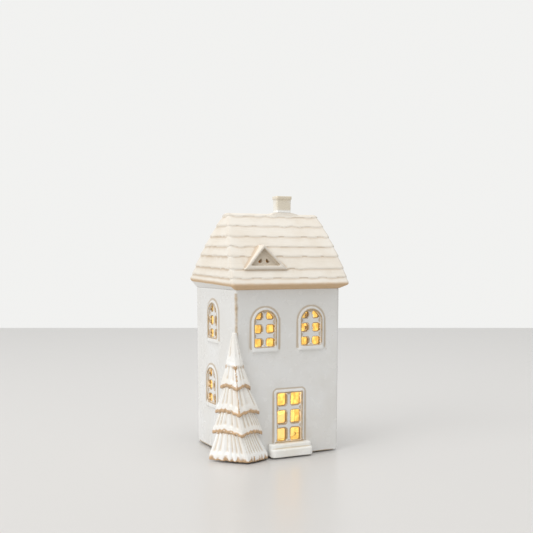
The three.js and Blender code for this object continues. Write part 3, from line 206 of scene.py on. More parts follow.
# Camera, in metres, degrees and millimetres of lens
CAMERA_PLACE = (-0.26915, -0.5551, 0.1375)
CAMERA_TILT = 89.44
CAMERA_TURN = -25.89
CAMERA_LENS = 56.87

# Fineness of the softened surfaces, and the share of their facets that stays
WALL_GRAIN = 0.5
ROOF_GRAIN = 0.5
TREE_GRAIN = 0.42
STEP_GRAIN = 0.35
CHIMNEY_GRAIN = 0.3
WALL_KEPT = 0.16
ROOF_KEPT = 0.25
TREE_KEPT = 0.5
SMALL_KEPT = 0.4
# Rounds of smoothing that a surface is held against to find its raised edges and hollows
RELIEF_ROUNDS = 14
TREE_RELIEF_ROUNDS = 10


# Camera

def add_camera():
    """Stands the camera where the photograph was taken from."""
    data = bpy.data.cameras.new("camera")
    data.sensor_width = 36
    data.lens = CAMERA_LENS
    data.clip_end = 50
    camera = bpy.data.objects.new("camera", data)
    camera.location = HOUSE_MIDDLE + Vector(CAMERA_PLACE)
    camera.rotation_euler = (math.radians(CAMERA_TILT), 0, math.radians(CAMERA_TURN))
    bpy.context.scene.collection.objects.link(camera)
    bpy.context.scene.camera = camera


add_camera()


# Meshes

def add_object(name, vertices, faces):
    """Makes an object from plain lists."""
    mesh = bpy.data.meshes.new(name)
    mesh.from_pydata([tuple(v) for v in vertices], [], faces)
    mesh.update()
    made = bpy.data.objects.new(name, mesh)
    bpy.context.scene.collection.objects.link(made)
    return made


def loft(name, rings):
    """Skins closed rings of points, from the bottom up and anticlockwise from above, and closes the ends."""
    count = len(rings[0])
    vertices = [point for ring in rings for point in ring]
    faces = []
    for ring in range(len(rings) - 1):
        for i in range(count):
            low = ring * count + i
            low_next = ring * count + (i + 1) % count
            faces.append((low, low_next, low_next + count, low + count))
    faces.append(tuple(reversed(range(count))))
    faces.append(tuple(range(len(vertices) - count, len(vertices))))
    return add_object(name, vertices, faces)


def prism(name, outline, low, high):
    """Gives a flat outline, drawn anticlockwise, a thickness along Z."""
    return loft(name, [[Vector((x, y, z)) for x, y in outline] for z in (low, high)])


def rectangle(x0, y0, x1, y1):
    """The corners of a rectangle, anticlockwise."""
    return [(x0, y0), (x1, y0), (x1, y1), (x0, y1)]


def circle(radius, middle=(0, 0), steps=96):
    """Points round a circle, anticlockwise."""
    angles = [2 * math.pi * i / steps for i in range(steps)]
    return [(middle[0] + radius * math.cos(a), middle[1] + radius * math.sin(a)) for a in angles]


def rounded_rectangle(half_x, half_y, radius, side_steps=1, corner_steps=6):
    """Points round a rectangle with rounded corners, anticlockwise, each side cut into side_steps."""
    corners = [(1, -1, -90), (1, 1, 0), (-1, 1, 90), (-1, -1, 180)]
    points = []
    for sign_x, sign_y, start in corners:
        middle = Vector((sign_x * (half_x - radius), sign_y * (half_y - radius)))
        for i in range(corner_steps + 1):
            angle = math.radians(start + 90 * i / corner_steps)
            points.append(middle + radius * Vector((math.cos(angle), math.sin(angle))))
    finer = []
    for i, point in enumerate(points):
        after = points[(i + 1) % len(points)]
        steps = side_steps if (i + 1) % (corner_steps + 1) == 0 else 1
        finer += [point.lerp(after, k / steps) for k in range(steps)]
    return finer


def at_height(points, height):
    """Lifts a flat outline to a height."""
    return [Vector((point[0], point[1], height)) for point in points]


def rounded_block(name, levels):
    """A block with rounded upright edges, from levels of height, half sizes, radius and maybe a middle."""
    rings = []
    for height, half_x, half_y, radius, *middle in levels:
        shift = Vector((*(middle or (0, 0)), height))
        rings.append([shift + point.to_3d() for point in rounded_rectangle(half_x, half_y, radius)])
    return loft(name, rings)


def moved(obj, matrix):
    """Moves an object's mesh and keeps its faces pointing out."""
    obj.data.transform(matrix)
    if matrix.determinant() < 0:
        obj.data.flip_normals()
    return obj


def apply_modifiers(obj):
    """Turns what an object's modifiers show into its own mesh."""
    shown = obj.evaluated_get(bpy.context.evaluated_depsgraph_get())
    mesh = bpy.data.meshes.new_from_object(shown)
    old = obj.data
    obj.modifiers.clear()
    obj.data = mesh
    mesh.name = obj.name
    mesh.materials.clear()
    bpy.data.meshes.remove(old)


def combine(obj, tools, operation):
    """Joins tools to an object or cuts them out of it, and throws the tools away."""
    for tool in tools:
        modifier = obj.modifiers.new("combine", "BOOLEAN")
        modifier.operation = operation
        modifier.solver = "MANIFOLD"
        modifier.object = tool
    apply_modifiers(obj)
    for tool in tools:
        bpy.data.objects.remove(tool)
    return obj


def joined(name, objects):
    """Puts several closed meshes into one object without cutting them."""
    vertices = []
    faces = []
    for obj in objects:
        start = len(vertices)
        vertices += [v.co.copy() for v in obj.data.vertices]
        faces += [tuple(start + i for i in polygon.vertices) for polygon in obj.data.polygons]
        bpy.data.objects.remove(obj)
    return add_object(name, vertices, faces)


def soften(obj, grain, rounds):
    """Gives an object even small facets and rounds its edges, as slip and glaze do."""
    remesh = obj.modifiers.new("remesh", "REMESH")
    remesh.mode = "VOXEL"
    remesh.voxel_size = grain
    smooth = obj.modifiers.new("smooth", "SMOOTH")
    smooth.factor = 0.5
    smooth.iterations = rounds
    apply_modifiers(obj)


def relief(mesh, rounds):
    """How far each vertex stands out from the smoothed surface round it, in the mesh's own unit."""
    count = len(mesh.vertices)
    places = np.empty(count * 3)
    mesh.vertices.foreach_get("co", places)
    places = places.reshape(count, 3)
    normals = np.empty(count * 3)
    mesh.vertices.foreach_get("normal", normals)
    normals = normals.reshape(count, 3)
    edges = np.empty(len(mesh.edges) * 2, dtype=np.int64)
    mesh.edges.foreach_get("vertices", edges)
    edges = edges.reshape(-1, 2)
    ends = np.concatenate([edges[:, 0], edges[:, 1]])
    others = np.concatenate([edges[:, 1], edges[:, 0]])
    degree = np.maximum(np.bincount(ends, minlength=count), 1)
    smooth = places.copy()
    for _ in range(rounds):
        sums = [np.bincount(ends, weights=smooth[others, axis], minlength=count) for axis in range(3)]
        smooth = np.stack(sums, axis=1) / degree[:, None]
    return places, ((places - smooth) * normals).sum(axis=1)


def store_values(obj, name, places, values):
    """Stores on each vertex the value of the nearest of some places, for the materials to read."""
    tree = KDTree(len(places))
    for i, place in enumerate(places):
        tree.insert(place, i)
    tree.balance()
    nearest = [values[tree.find(vertex.co)[1]] for vertex in obj.data.vertices]
    stored = obj.data.attributes.new(name, "FLOAT", "POINT")
    stored.data.foreach_set("value", nearest)


def thin_out(obj, keep, rounds):
    """Drops facets from the flat stretches, and stores the relief that the finer surface had."""
    places, heights = relief(obj.data, rounds)
    decimate = obj.modifiers.new("decimate", "DECIMATE")
    decimate.ratio = keep
    apply_modifiers(obj)
    store_values(obj, "relief", places, heights)


def place_piece(obj, body, node):
    """Moves a piece from millimetres to the model's frame, shades it smooth and lets it stand for a node."""
    obj.data.transform(Matrix.Translation(HOUSE_MIDDLE) @ Matrix.Scale(MM, 4))
    obj.data.polygons.foreach_set("use_smooth", [True] * len(obj.data.polygons))
    obj.data.update()
    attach(obj, body)
    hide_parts(node)


# Walls

def draft_at(height):
    """How far the walls' faces have come in at a height."""
    return WALL_DRAFT * (WALL_TOP - height) / (WALL_TOP - WALL_FOOT)


def wall_block(name, grow=0, bottom=WALL_FOOT, top=WALL_TOP):
    """The solid block that the walls' outer faces enclose."""
    return rounded_block(name, [
        (
            z,
            HOUSE_WIDTH / 2 - draft_at(z) + grow,
            HOUSE_DEPTH / 2 - draft_at(z) + grow,
            WALL_EDGE_RADIUS + grow,
        )
        for z in (bottom, top)
    ])


def on_wall(quarter, along, height):
    """Places a drawing with X along a wall, Y up and Z out of it."""
    half = (HOUSE_DEPTH if quarter % 2 == 0 else HOUSE_WIDTH) / 2
    lean = math.atan2(WALL_DRAFT, WALL_TOP - WALL_FOOT)
    return (
        Matrix.Rotation(quarter * math.pi / 2, 4, "Z")
        @ Matrix.Translation((along, -(half - draft_at(height)), height))
        @ Matrix.Rotation(math.pi / 2 + lean, 4, "X")
    )


def arch_outline(inset):
    """The outline of an arched window, drawn in by an inset."""
    half = WINDOW_WIDTH / 2 - inset
    spring = WINDOW_HEIGHT - WINDOW_WIDTH / 2
    steps = 36
    arc = [math.pi * i / steps for i in range(steps + 1)]
    return [(-half, inset), (half, inset)] + [
        (half * math.cos(a), spring + half * math.sin(a)) for a in arc
    ]


def door_outline(inset):
    """The outline of the door's frame, drawn in by an inset."""
    half = DOOR_WIDTH / 2 - inset
    top = DOOR_TOP - DOOR_BOTTOM - inset
    radius = max(DOOR_CORNER_RADIUS - inset, 0.5)
    points = [(-half, inset), (half, inset)]
    for sign, start in ((1, 0), (-1, 90)):
        for i in range(7):
            angle = math.radians(start + 15 * i)
            points.append((
                sign * (half - radius) + radius * math.cos(angle),
                top - radius + radius * math.sin(angle),
            ))
    return points


def glazing_bars(width, bottom, top, post, rail):
    """The bars that divide an opening into two columns and three rows of panes."""
    pane = (top - bottom - 2 * rail) / 3
    back = -2 * WALL_THICKNESS
    upright = rectangle(-post / 2, -FRAME_WIDTH, post / 2, top + 2 * FRAME_WIDTH)
    bars = [prism("bar", upright, back, -BAR_SETBACK)]
    for row in (1, 2):
        low = bottom + row * pane + (row - 1) * rail
        bars.append(prism("bar", rectangle(-width, low, width, low + rail), back, -BAR_SETBACK))
    return bars


def opening_tools(outline, width, height, sill, post, rail):
    """A window's raised rings and sill, and what is cut out inside them round the bars."""
    through = WALL_THICKNESS + 2
    outer = prism("ring", outline(-0.1), -1, FRAME_PROUD * OUTER_RING_SHARE)
    inner = prism("ring", outline(INNER_RING), -1, FRAME_PROUD)
    groove = prism("groove", outline(RING_GROOVE), 0.1, 3)
    tongue = prism("tongue", outline(INNER_RING), -1, 3)
    combine(groove, [tongue], "DIFFERENCE")
    half = width / 2 - 0.4
    ledge_outline = rectangle(-half, -0.3, half, min(sill, LEDGE_HEIGHT))
    ledge = prism("sill", ledge_outline, -1, FRAME_PROUD + LEDGE_PROUD)
    combine(outer, [groove], "DIFFERENCE")
    frame_piece = combine(outer, [inner, ledge], "UNION")
    cut = prism("cut", outline(FRAME_WIDTH), -through, 5)
    below = prism("below", rectangle(-half, -1, half, sill), -2 * through, 6)
    clear = width / 2 - FRAME_WIDTH
    foot = prism("foot", rectangle(-clear, sill, clear, sill + 3), -through, 5)
    combine(cut, [foot], "UNION")
    combine(cut, [below] + glazing_bars(width, sill, height - FRAME_WIDTH, post, rail), "DIFFERENCE")
    return frame_piece, cut


def inner_level(height, grow=0):
    """The hollow inside the walls at a height, as a level of a rounded block."""
    inset = WALL_THICKNESS + draft_at(height) - grow
    return (height, HOUSE_WIDTH / 2 - inset, HOUSE_DEPTH / 2 - inset, WALL_EDGE_RADIUS)


def glaze_ledges(shell):
    """Leaves no bare or pooled glaze on the windows' ledges, just under them and beside them."""
    heights = shell.data.attributes["relief"].data
    for place in WINDOW_PLACES:
        to_drawing = on_wall(*place).inverted()
        for vertex in shell.data.vertices:
            x, y, z = to_drawing @ vertex.co
            if abs(x) < WINDOW_WIDTH / 2 + CLEAN_SIDE and -CLEAN_DROP < y < CLEAN_RISE and z > -CLEAN_DEPTH:
                heights[vertex.index].value = 0


def walls():
    """The glazed walls and floor, with raised frames round the pierced windows and door."""
    shell = wall_block("walls")
    frames = []
    cuts = []
    door_height = DOOR_TOP - DOOR_BOTTOM
    kinds = [(DOOR_PLACE, door_outline, DOOR_WIDTH, door_height, DOOR_THRESHOLD, DOOR_POST, DOOR_RAIL)]
    window = (arch_outline, WINDOW_WIDTH, WINDOW_HEIGHT, WINDOW_SILL, WINDOW_POST, WINDOW_RAIL)
    kinds += [(place, *window) for place in WINDOW_PLACES]
    for place, *sizes in kinds:
        frame_piece, cut = opening_tools(*sizes)
        frames.append(moved(frame_piece, on_wall(*place)))
        cuts.append(moved(cut, on_wall(*place)))
    combine(shell, frames, "UNION")
    hollow = rounded_block("hollow", [inner_level(FLOOR_TOP), inner_level(WALL_TOP + 2)])
    recess = prism("recess", circle(FOOT_RECESS_RADIUS), WALL_FOOT - 1, FLOOR_BOTTOM)
    hole = prism("hole", circle(LAMP_HOLE_RADIUS), WALL_FOOT - 1, FLOOR_TOP + 1)
    combine(shell, [hollow, recess, hole] + cuts, "DIFFERENCE")
    soften(shell, WALL_GRAIN, 3)
    thin_out(shell, WALL_KEPT, RELIEF_ROUNDS)
    glaze_ledges(shell)
    return shell


# Roof

def slope_at(height, inset=0):
    """The roof's slope at a height, drawn in by an inset: its half sizes and its middle."""
    share = (height - EAVE_HEIGHT) / (RIDGE_HEIGHT - EAVE_HEIGHT)
    grow = 4 * ROOF_BULGE * share * (1 - share) - inset
    eave = Vector((
        (HOUSE_WIDTH + EAVE_OVERHANG + EAVE_OVERHANG_RIGHT) / 2,
        (HOUSE_DEPTH + EAVE_OVERHANG + EAVE_OVERHANG_BACK) / 2,
        (EAVE_OVERHANG_RIGHT - EAVE_OVERHANG) / 2,
        (EAVE_OVERHANG_BACK - EAVE_OVERHANG) / 2,
    ))
    ridge = Vector((RIDGE_LENGTH / 2, RIDGE_DEPTH / 2, RIDGE_OFFSET, -RIDGE_FORWARD))
    half_x, half_y, x, y = eave + (ridge - eave) * share
    return half_x + grow, half_y + grow, x, y


def slope_front(height):
    """How far the front slope's face lies in front of the walls' middle at a height."""
    _, half_y, _, y = slope_at(height)
    return half_y - y


def eave_rise(y, height):
    """How far the roof's lower rows climb towards the back, at a place on the slope."""
    share = (height - EAVE_HEIGHT) / (RIDGE_HEIGHT - EAVE_HEIGHT)
    front = -HOUSE_DEPTH / 2 - EAVE_OVERHANG
    depth = HOUSE_DEPTH + EAVE_OVERHANG + EAVE_OVERHANG_BACK
    return EAVE_RISE * (1 - share) * (y - front) / depth


def shingle_wave(row, share):
    """How far a row's lower edge wanders at a share of the way round, least on the short sides."""
    turn = 2 * math.pi * share
    swell = (0.75 - 0.25 * math.sin(2 * turn)) * (0.8 + 0.4 * math.sin(4 * turn + 1.7 * row))
    return SHINGLE_WAVE * swell * (math.sin(22 * turn + 2.1 * row) + 0.6 * math.sin(29 * turn + 4.7 * row))


def roof_ring(height, inset, row=None):
    """A ring of points round the roof's slope, whose height wanders with a row's edge."""
    outlines = []
    for level in (height - 1, height + 1):
        half_x, half_y, x, y = slope_at(level, inset)
        radius = max(ROOF_EDGE_RADIUS - inset, 0.3)
        middle = Vector((x, y, level))
        points = rounded_rectangle(half_x, half_y, radius, 110, 8)
        outlines.append([middle + point.to_3d() for point in points])
    ring = []
    for i, (low, high) in enumerate(zip(*outlines)):
        wave = 0 if row is None else shingle_wave(row, i / len(outlines[0]))
        point = low.lerp(high, (wave + 1) / 2)
        point.z += eave_rise(point.y, point.z)
        ring.append(point)
    return ring


def shingled_block():
    """The roof's outer skin, with each row of shingles standing out over the one below."""
    foot = rounded_rectangle(HOUSE_WIDTH / 2, HOUSE_DEPTH / 2, WALL_EDGE_RADIUS, 110, 8)
    rings = [at_height(foot, WALL_TOP)]
    rings.append(roof_ring(EAVE_HEIGHT - EAVE_ROUNDING, 1.2 * EAVE_ROUNDING))
    rings.append(roof_ring(EAVE_HEIGHT - 0.4 * EAVE_ROUNDING, 0.45 * EAVE_ROUNDING))
    rings.append(roof_ring(EAVE_HEIGHT + 0.3 * EAVE_ROUNDING, 0.1 * EAVE_ROUNDING))
    rings.append(roof_ring(EAVE_HEIGHT + EAVE_ROUNDING, 0))
    bottom = EAVE_HEIGHT
    for row, share in enumerate(COURSE_SHARES, start=1):
        bottom += share * (RIDGE_HEIGHT - EAVE_HEIGHT)
        rings.append(roof_ring(bottom + SHINGLE_LIFT, SHINGLE_LIP, row))
        rings.append(roof_ring(bottom, 0, row))
    for step in range(1, 6):
        angle = math.radians(18 * step)
        lift = RIDGE_ROUNDING * (1 - math.sin(angle))
        rings.append(roof_ring(RIDGE_HEIGHT - lift, RIDGE_ROUNDING * (1 - math.cos(angle))))
    return loft("roof", rings)


def dormer_outline(rake, sill):
    """The dormer seen from the front, drawn in by its rakes and its sill."""
    slope = 2 * DORMER_HEIGHT / DORMER_WIDTH
    drop = rake * math.hypot(1, slope)
    half = (DORMER_HEIGHT - drop - sill) / slope
    return [(-half, sill), (half, sill), (0, DORMER_HEIGHT - drop)]


def stand_dormer(obj):
    """Stands a front view of the dormer up on the roof, leaning back, with its depth into the slope."""
    front = slope_front(DORMER_SILL) + DORMER_PROUD
    lean = DORMER_LEAN / DORMER_HEIGHT
    return moved(obj, Matrix((
        (1, 0, 0, DORMER_OFFSET),
        (0, lean, 1, -front),
        (0, 1, 0, DORMER_SILL),
        (0, 0, 0, 1),
    )))


def chimney_seat():
    """The low mound of clay on the ridge that carries the chimney."""
    half = Vector((CHIMNEY_WIDTH / 2, CHIMNEY_DEPTH / 2))
    levels = [
        (RIDGE_HEIGHT - CHIMNEY_SEAT_DROP, CHIMNEY_SEAT_FOOT),
        (RIDGE_HEIGHT, CHIMNEY_SEAT_SPREAD),
        (RIDGE_HEIGHT + CHIMNEY_SEAT_RISE, (CHIMNEY_SEAT_MARGIN, CHIMNEY_SEAT_MARGIN)),
    ]
    return rounded_block("seat", [
        (height, *(half + Vector(spread)), 1.2, CHIMNEY_OFFSET, -RIDGE_FORWARD) for height, spread in levels
    ])


def roof():
    """The matt clay roof with its rows of shingles and its small pierced dormer."""
    block = shingled_block()
    slope_depth = slope_front(DORMER_SILL) - slope_front(DORMER_SILL + DORMER_HEIGHT)
    gable_depth = slope_depth + DORMER_PROUD + ROOF_THICKNESS / 2
    gable = stand_dormer(prism("gable", dormer_outline(0, 0), 0, gable_depth))
    recess = stand_dormer(prism("recess", dormer_outline(DORMER_RAKE, DORMER_SILL_HEIGHT), -2, DORMER_RECESS))
    low = DORMER_SILL_HEIGHT + DORMER_PANE_RISE
    inner = DORMER_BAR / 2
    depth = DORMER_PROUD + DORMER_LEAN + 3 * ROOF_THICKNESS
    right = [(inner, low), (inner + DORMER_PANE, low), (inner, low + DORMER_PANE)]
    left = [(-inner - DORMER_PANE, low), (-inner, low), (-inner, low + DORMER_PANE)]
    panes = [stand_dormer(prism("pane", outline, 0, depth)) for outline in (left, right)]
    fall = (slope_at(EAVE_HEIGHT)[1] - slope_at(RIDGE_HEIGHT)[1]) / (RIDGE_HEIGHT - EAVE_HEIGHT)
    inset = ROOF_THICKNESS * math.hypot(1, fall)
    inner_top = RIDGE_HEIGHT - ROOF_THICKNESS
    wall_x = HOUSE_WIDTH / 2 - WALL_THICKNESS
    wall_y = HOUSE_DEPTH / 2 - WALL_THICKNESS
    levels = [(WALL_TOP - 2, wall_x, wall_y, WALL_EDGE_RADIUS)]
    for height in (EAVE_HEIGHT, (EAVE_HEIGHT + inner_top) / 2, inner_top):
        half_x, half_y, x, y = slope_at(height, inset)
        levels.append((height, half_x, half_y, 1.2, x, y))
    hollow = rounded_block("hollow", levels)
    combine(block, [gable, chimney_seat()], "UNION")
    combine(block, [hollow, recess] + panes, "DIFFERENCE")
    soften(block, ROOF_GRAIN, 4)
    thin_out(block, ROOF_KEPT, RELIEF_ROUNDS)
    return block


# Step and chimney

def slab_ring(reach, half_width, radius, height):
    """A ring round a slab that stands out from the front wall by its reach, with rounded front corners."""
    front = -(HOUSE_DEPTH / 2 + reach)
    back = -(HOUSE_DEPTH / 2 - WALL_DRAFT - 0.5)
    ring = [(half_width, back), (-half_width, back)]
    for sign, start in ((-1, 180), (1, 270)):
        for i in range(9):
            angle = math.radians(start + 90 * i / 8)
            ring.append((
                sign * (half_width - radius) + radius * math.cos(angle),
                front + radius + radius * math.sin(angle),
            ))
    return [Vector((STEP_OFFSET + x, y, height)) for x, y in ring]


def step_slab(name, reach, bottom, top):
    """One slab of the doorstep, with a soft upper edge."""
    half = STEP_WIDTH / 2
    rings = [slab_ring(reach - 0.5, half - 0.5, STEP_END_RADIUS, bottom)]
    rings.append(slab_ring(reach, half, STEP_END_RADIUS, bottom + 0.5))
    for i in range(5):
        angle = math.radians(90 * i / 4)
        inset = STEP_EDGE * (1 - math.cos(angle))
        height = top - STEP_EDGE * (1 - math.sin(angle))
        rings.append(slab_ring(reach - inset, half - inset, STEP_END_RADIUS, height))
    return loft(name, rings)


def door_step():
    """The two glazed slabs under the door."""
    lower_top = WALL_FOOT + STEP_LOWER_RISE
    lower = step_slab("door_step", STEP_LOWER_REACH, WALL_FOOT, lower_top)
    upper = step_slab("upper_slab", STEP_UPPER_REACH, lower_top - 1, lower_top + STEP_UPPER_RISE)
    step = combine(lower, [upper], "UNION")
    combine(step, [wall_block("house", 0.05, WALL_FOOT - 2, WALL_TOP)], "DIFFERENCE")
    soften(step, STEP_GRAIN, 2)
    thin_out(step, SMALL_KEPT, RELIEF_ROUNDS)
    return step


def chimney():
    """The glazed chimney stack with its thicker lip and shallow flue."""
    half_x = CHIMNEY_WIDTH / 2
    half_y = CHIMNEY_DEPTH / 2
    foot = RIDGE_HEIGHT + CHIMNEY_SEAT_RISE
    top = foot + CHIMNEY_HEIGHT
    neck = top - CHIMNEY_LIP_HEIGHT
    stack = rounded_block("chimney", [
        (foot, half_x, half_y, CHIMNEY_EDGE_RADIUS),
        (foot + 1.2, half_x - 0.2, half_y - 0.2, CHIMNEY_EDGE_RADIUS),
        (neck - 0.4, half_x - 0.1, half_y - 0.1, CHIMNEY_EDGE_RADIUS),
        (neck + 0.3, half_x + CHIMNEY_LIP, half_y + CHIMNEY_LIP, CHIMNEY_LIP_RADIUS),
        (top, half_x + CHIMNEY_LIP, half_y + CHIMNEY_LIP, CHIMNEY_LIP_RADIUS),
    ])
    flue = rounded_block("flue", [
        (top - FLUE_DEPTH, half_x - FLUE_WALL, half_y - FLUE_WALL, FLUE_RADIUS),
        (top + 1, half_x - FLUE_WALL, half_y - FLUE_WALL, FLUE_RADIUS),
    ])
    combine(stack, [flue], "DIFFERENCE")
    soften(stack, CHIMNEY_GRAIN, 3)
    thin_out(stack, SMALL_KEPT, RELIEF_ROUNDS)
    return moved(stack, Matrix.Translation((CHIMNEY_OFFSET, -RIDGE_FORWARD, 0)))


# Tree

def mixed_tier(start, end, share):
    """A mix of two tiers' tips."""
    mix = {}
    for key in ("left", "ridge", "right"):
        mix[key] = tuple(a + (b - a) * share for a, b in zip(start[key], end[key]))
    return mix


def needle_at(number, face, share):
    """How near a place on a tier's face is to the crest of a needle, from 0 in a hollow to 1."""
    drift = 0.3 * math.sin(5 * share + 2 * number + 3 * face) + 0.1 * math.sin(13 * share + number)
    return 0.5 - 0.5 * math.cos(2 * math.pi * (FLUTES[number] * share + drift))


def tier_ring(tier, height, number, arch=0.0, swell=0.0, flute=0.0, scallop=0.0):
    """A ring of a tier at a height, fluted on its two faces and arched up between its three tips."""
    left, ridge, right = [
        TREE_CORNER + TREE_HEIGHT * Vector(tier[key]) for key in ("left", "ridge", "right")
    ]
    ring = [
        Vector((TREE_CORNER.x + 12, TREE_CORNER.y + 12, height)),
        Vector((TREE_CORNER.x + 2, max(left.y, TREE_CORNER.y + 3), height)),
    ]
    for face, (start, end) in enumerate(((left, ridge), (ridge, right))):
        outward = Vector((end.y - start.y, start.x - end.x)).normalized()
        for i in range(FACE_STEPS):
            share = i / FACE_STEPS
            needle = needle_at(number, face, share)
            bulge = math.sin(math.pi * share)
            point = start.lerp(end, share) + outward * (swell + flute * (needle - 1) + FACE_BULGE * bulge)
            ring.append(Vector((point.x, point.y, height + arch * bulge + scallop * (0.5 - needle) * bulge)))
    ring.append(Vector((right.x, right.y, height)))
    ring.append(Vector((max(right.x, TREE_CORNER.x + 3), TREE_CORNER.y + 2, height)))
    return ring


def ring_bareness(number, lift, bare):
    """How bare of glaze each point of a ring is, at a height over the tier's rim."""
    row = [bare] * (2 * FACE_STEPS + 4)
    is_foot = number == len(TREE_TIERS) - 1
    for i in range(2 * FACE_STEPS):
        from_ridge = abs(i - FACE_STEPS)
        share = i % FACE_STEPS / FACE_STEPS
        place = 2 + i
        if number == 0:
            row[place] = bare * (1 - 0.7 * math.sin(math.pi * share))
            near_rim = max(0, 1 - lift / LIP_PROFILE[-1][0])
            row[place] = max(row[place], 1.6 * near_rim * (1 - from_ridge / TOP_BAND_STEPS))
        elif from_ridge <= RIDGE_LINE_STEPS:
            row[place] = max(bare, RIDGE_BARENESS[number])
        elif is_foot and lift < FOOT_BARE_RISE:
            patch = 0.75 + 0.5 * math.sin(0.11 * i + 1.3) * math.sin(0.31 * i)
            stain = (1 - lift / FOOT_BARE_RISE) * (1.15 - 0.35 * needle_at(number, i // FACE_STEPS, share))
            row[place] = max(bare, patch * stain)
    return row


def tree_tier(number, bare_places):
    """One tier of branches, with a thick drooping lip and a neck that runs up into the tier above."""
    tier = TREE_TIERS[number]
    is_foot = number == len(TREE_TIERS) - 1
    above = TREE_TIERS[max(number - 1, 0)]
    neck = TREE_TIP if number == 0 else mixed_tier(TREE_TIP, above, NECK_SHARE)
    rim = WALL_FOOT + tier["rim"] * TREE_HEIGHT
    if number == 0:
        rise = TREE_HEIGHT - rim + WALL_FOOT
    else:
        rise = (above["rim"] - tier["rim"]) * TREE_HEIGHT + NECK_RISE
    arch = 0 if is_foot else ARCH
    rings = []

    def add(ring, lift, bare):
        rings.append(ring)
        bare_places.extend(zip(ring, ring_bareness(number, lift, bare)))

    if not is_foot:
        for lift, share, bare in UNDERSIDE_PROFILE:
            add(tier_ring(mixed_tier(TREE_TIP, tier, share), rim + lift, number, arch), lift, bare)
    for lift, swell, bare in FOOT_PROFILE if is_foot else LIP_PROFILE:
        add(tier_ring(tier, rim + lift, number, arch, swell, LIP_FLUTE, SCALLOP), lift, bare)
    for step in range(1, SLOPE_RINGS + 1):
        share = step / SLOPE_RINGS
        lip = LIP_PROFILE[-1][0]
        lift = lip + (rise - lip) * share
        flute = FLUTE_DEPTH * min(1, 5 * share) * (1 - 0.45 * share)
        taper = mixed_tier(tier, neck, share ** (0.9 if is_foot else 1.12))
        rest = 1 - share
        add(tier_ring(taper, rim + lift, number, arch * rest, 0, flute, SCALLOP * rest), lift, 0)
    return loft("tier", rings)


def fir_tree():
    """The glazed fir tree on the house's front left corner."""
    tiers = []
    bare_places = []
    for number in range(len(TREE_TIERS)):
        house = wall_block("house", 0.3, WALL_FOOT - 2, WALL_TOP)
        floor = prism("floor", rectangle(-100, -100, 0, 0), -20, WALL_FOOT)
        tiers.append(combine(tree_tier(number, bare_places), [house, floor], "DIFFERENCE"))
    tree = joined("tree", tiers)
    soften(tree, TREE_GRAIN, 2)
    thin_out(tree, TREE_KEPT, TREE_RELIEF_ROUNDS)
    store_values(tree, "bare", *zip(*bare_places))
    return tree


# Materials

def new_material(name):
    """An empty material with its shader."""
    material = bpy.data.materials.new(name)
    material.use_nodes = True
    return material, material.node_tree, material.node_tree.nodes["Principled BSDF"]


def node(tree, kind, inputs=None, **settings):
    """Adds a shader node, with each input a plain value or another node's socket."""
    made = tree.nodes.new(kind)
    for key, value in settings.items():
        setattr(made, key, value)
    for key, value in (inputs or {}).items():
        if isinstance(value, bpy.types.NodeSocket):
            tree.links.new(value, made.inputs[key])
        else:
            made.inputs[key].default_value = value
    return made


def millimetres(tree):
    """The place on the piece, in millimetres."""
    place = node(tree, "ShaderNodeTexCoord").outputs["Object"]
    return node(tree, "ShaderNodeVectorMath", {0: place, 3: 1 / MM}, operation="SCALE").outputs[0]


def noise(tree, place, size, detail=2.0, stretch=(1, 1, 1)):
    """Smooth noise whose blotches are about size millimetres across."""
    scaled = node(tree, "ShaderNodeVectorMath", {0: place, 1: stretch}, operation="MULTIPLY").outputs[0]
    inputs = {"Vector": scaled, "Scale": 1 / size, "Detail": detail}
    return node(tree, "ShaderNodeTexNoise", inputs).outputs["Fac"]


def spread(tree, value, low, high, out_low=0.0, out_high=1.0):
    """Maps a value from one range to another, smoothly and without leaving it."""
    inputs = {"Value": value, "From Min": low, "From Max": high, "To Min": out_low, "To Max": out_high}
    return node(tree, "ShaderNodeMapRange", inputs, interpolation_type="SMOOTHSTEP").outputs[0]


def blend_colour(tree, share, first, second):
    """Mixes two colours, each a socket or three numbers."""
    mix = node(tree, "ShaderNodeMix", data_type="RGBA")
    for index, value in ((0, share), (6, first), (7, second)):
        if isinstance(value, bpy.types.NodeSocket):
            tree.links.new(value, mix.inputs[index])
        else:
            mix.inputs[index].default_value = value if index == 0 else (*value, 1)
    return mix.outputs[2]


def maths(tree, operation, first, second):
    """Joins two numbers or sockets."""
    return node(tree, "ShaderNodeMath", {0: first, 1: second}, operation=operation).outputs[0]


def stored_value(tree, name):
    """A value that was stored on the surface."""
    return node(tree, "ShaderNodeAttribute", attribute_name=name).outputs["Fac"]


def bumped(tree, shader, height, distance, strength=1.0):
    """Roughens a shader with a height map in millimetres."""
    bump = node(tree, "ShaderNodeBump", {"Height": height, "Distance": distance * MM, "Strength": strength})
    tree.links.new(bump.outputs[0], shader.inputs["Normal"])


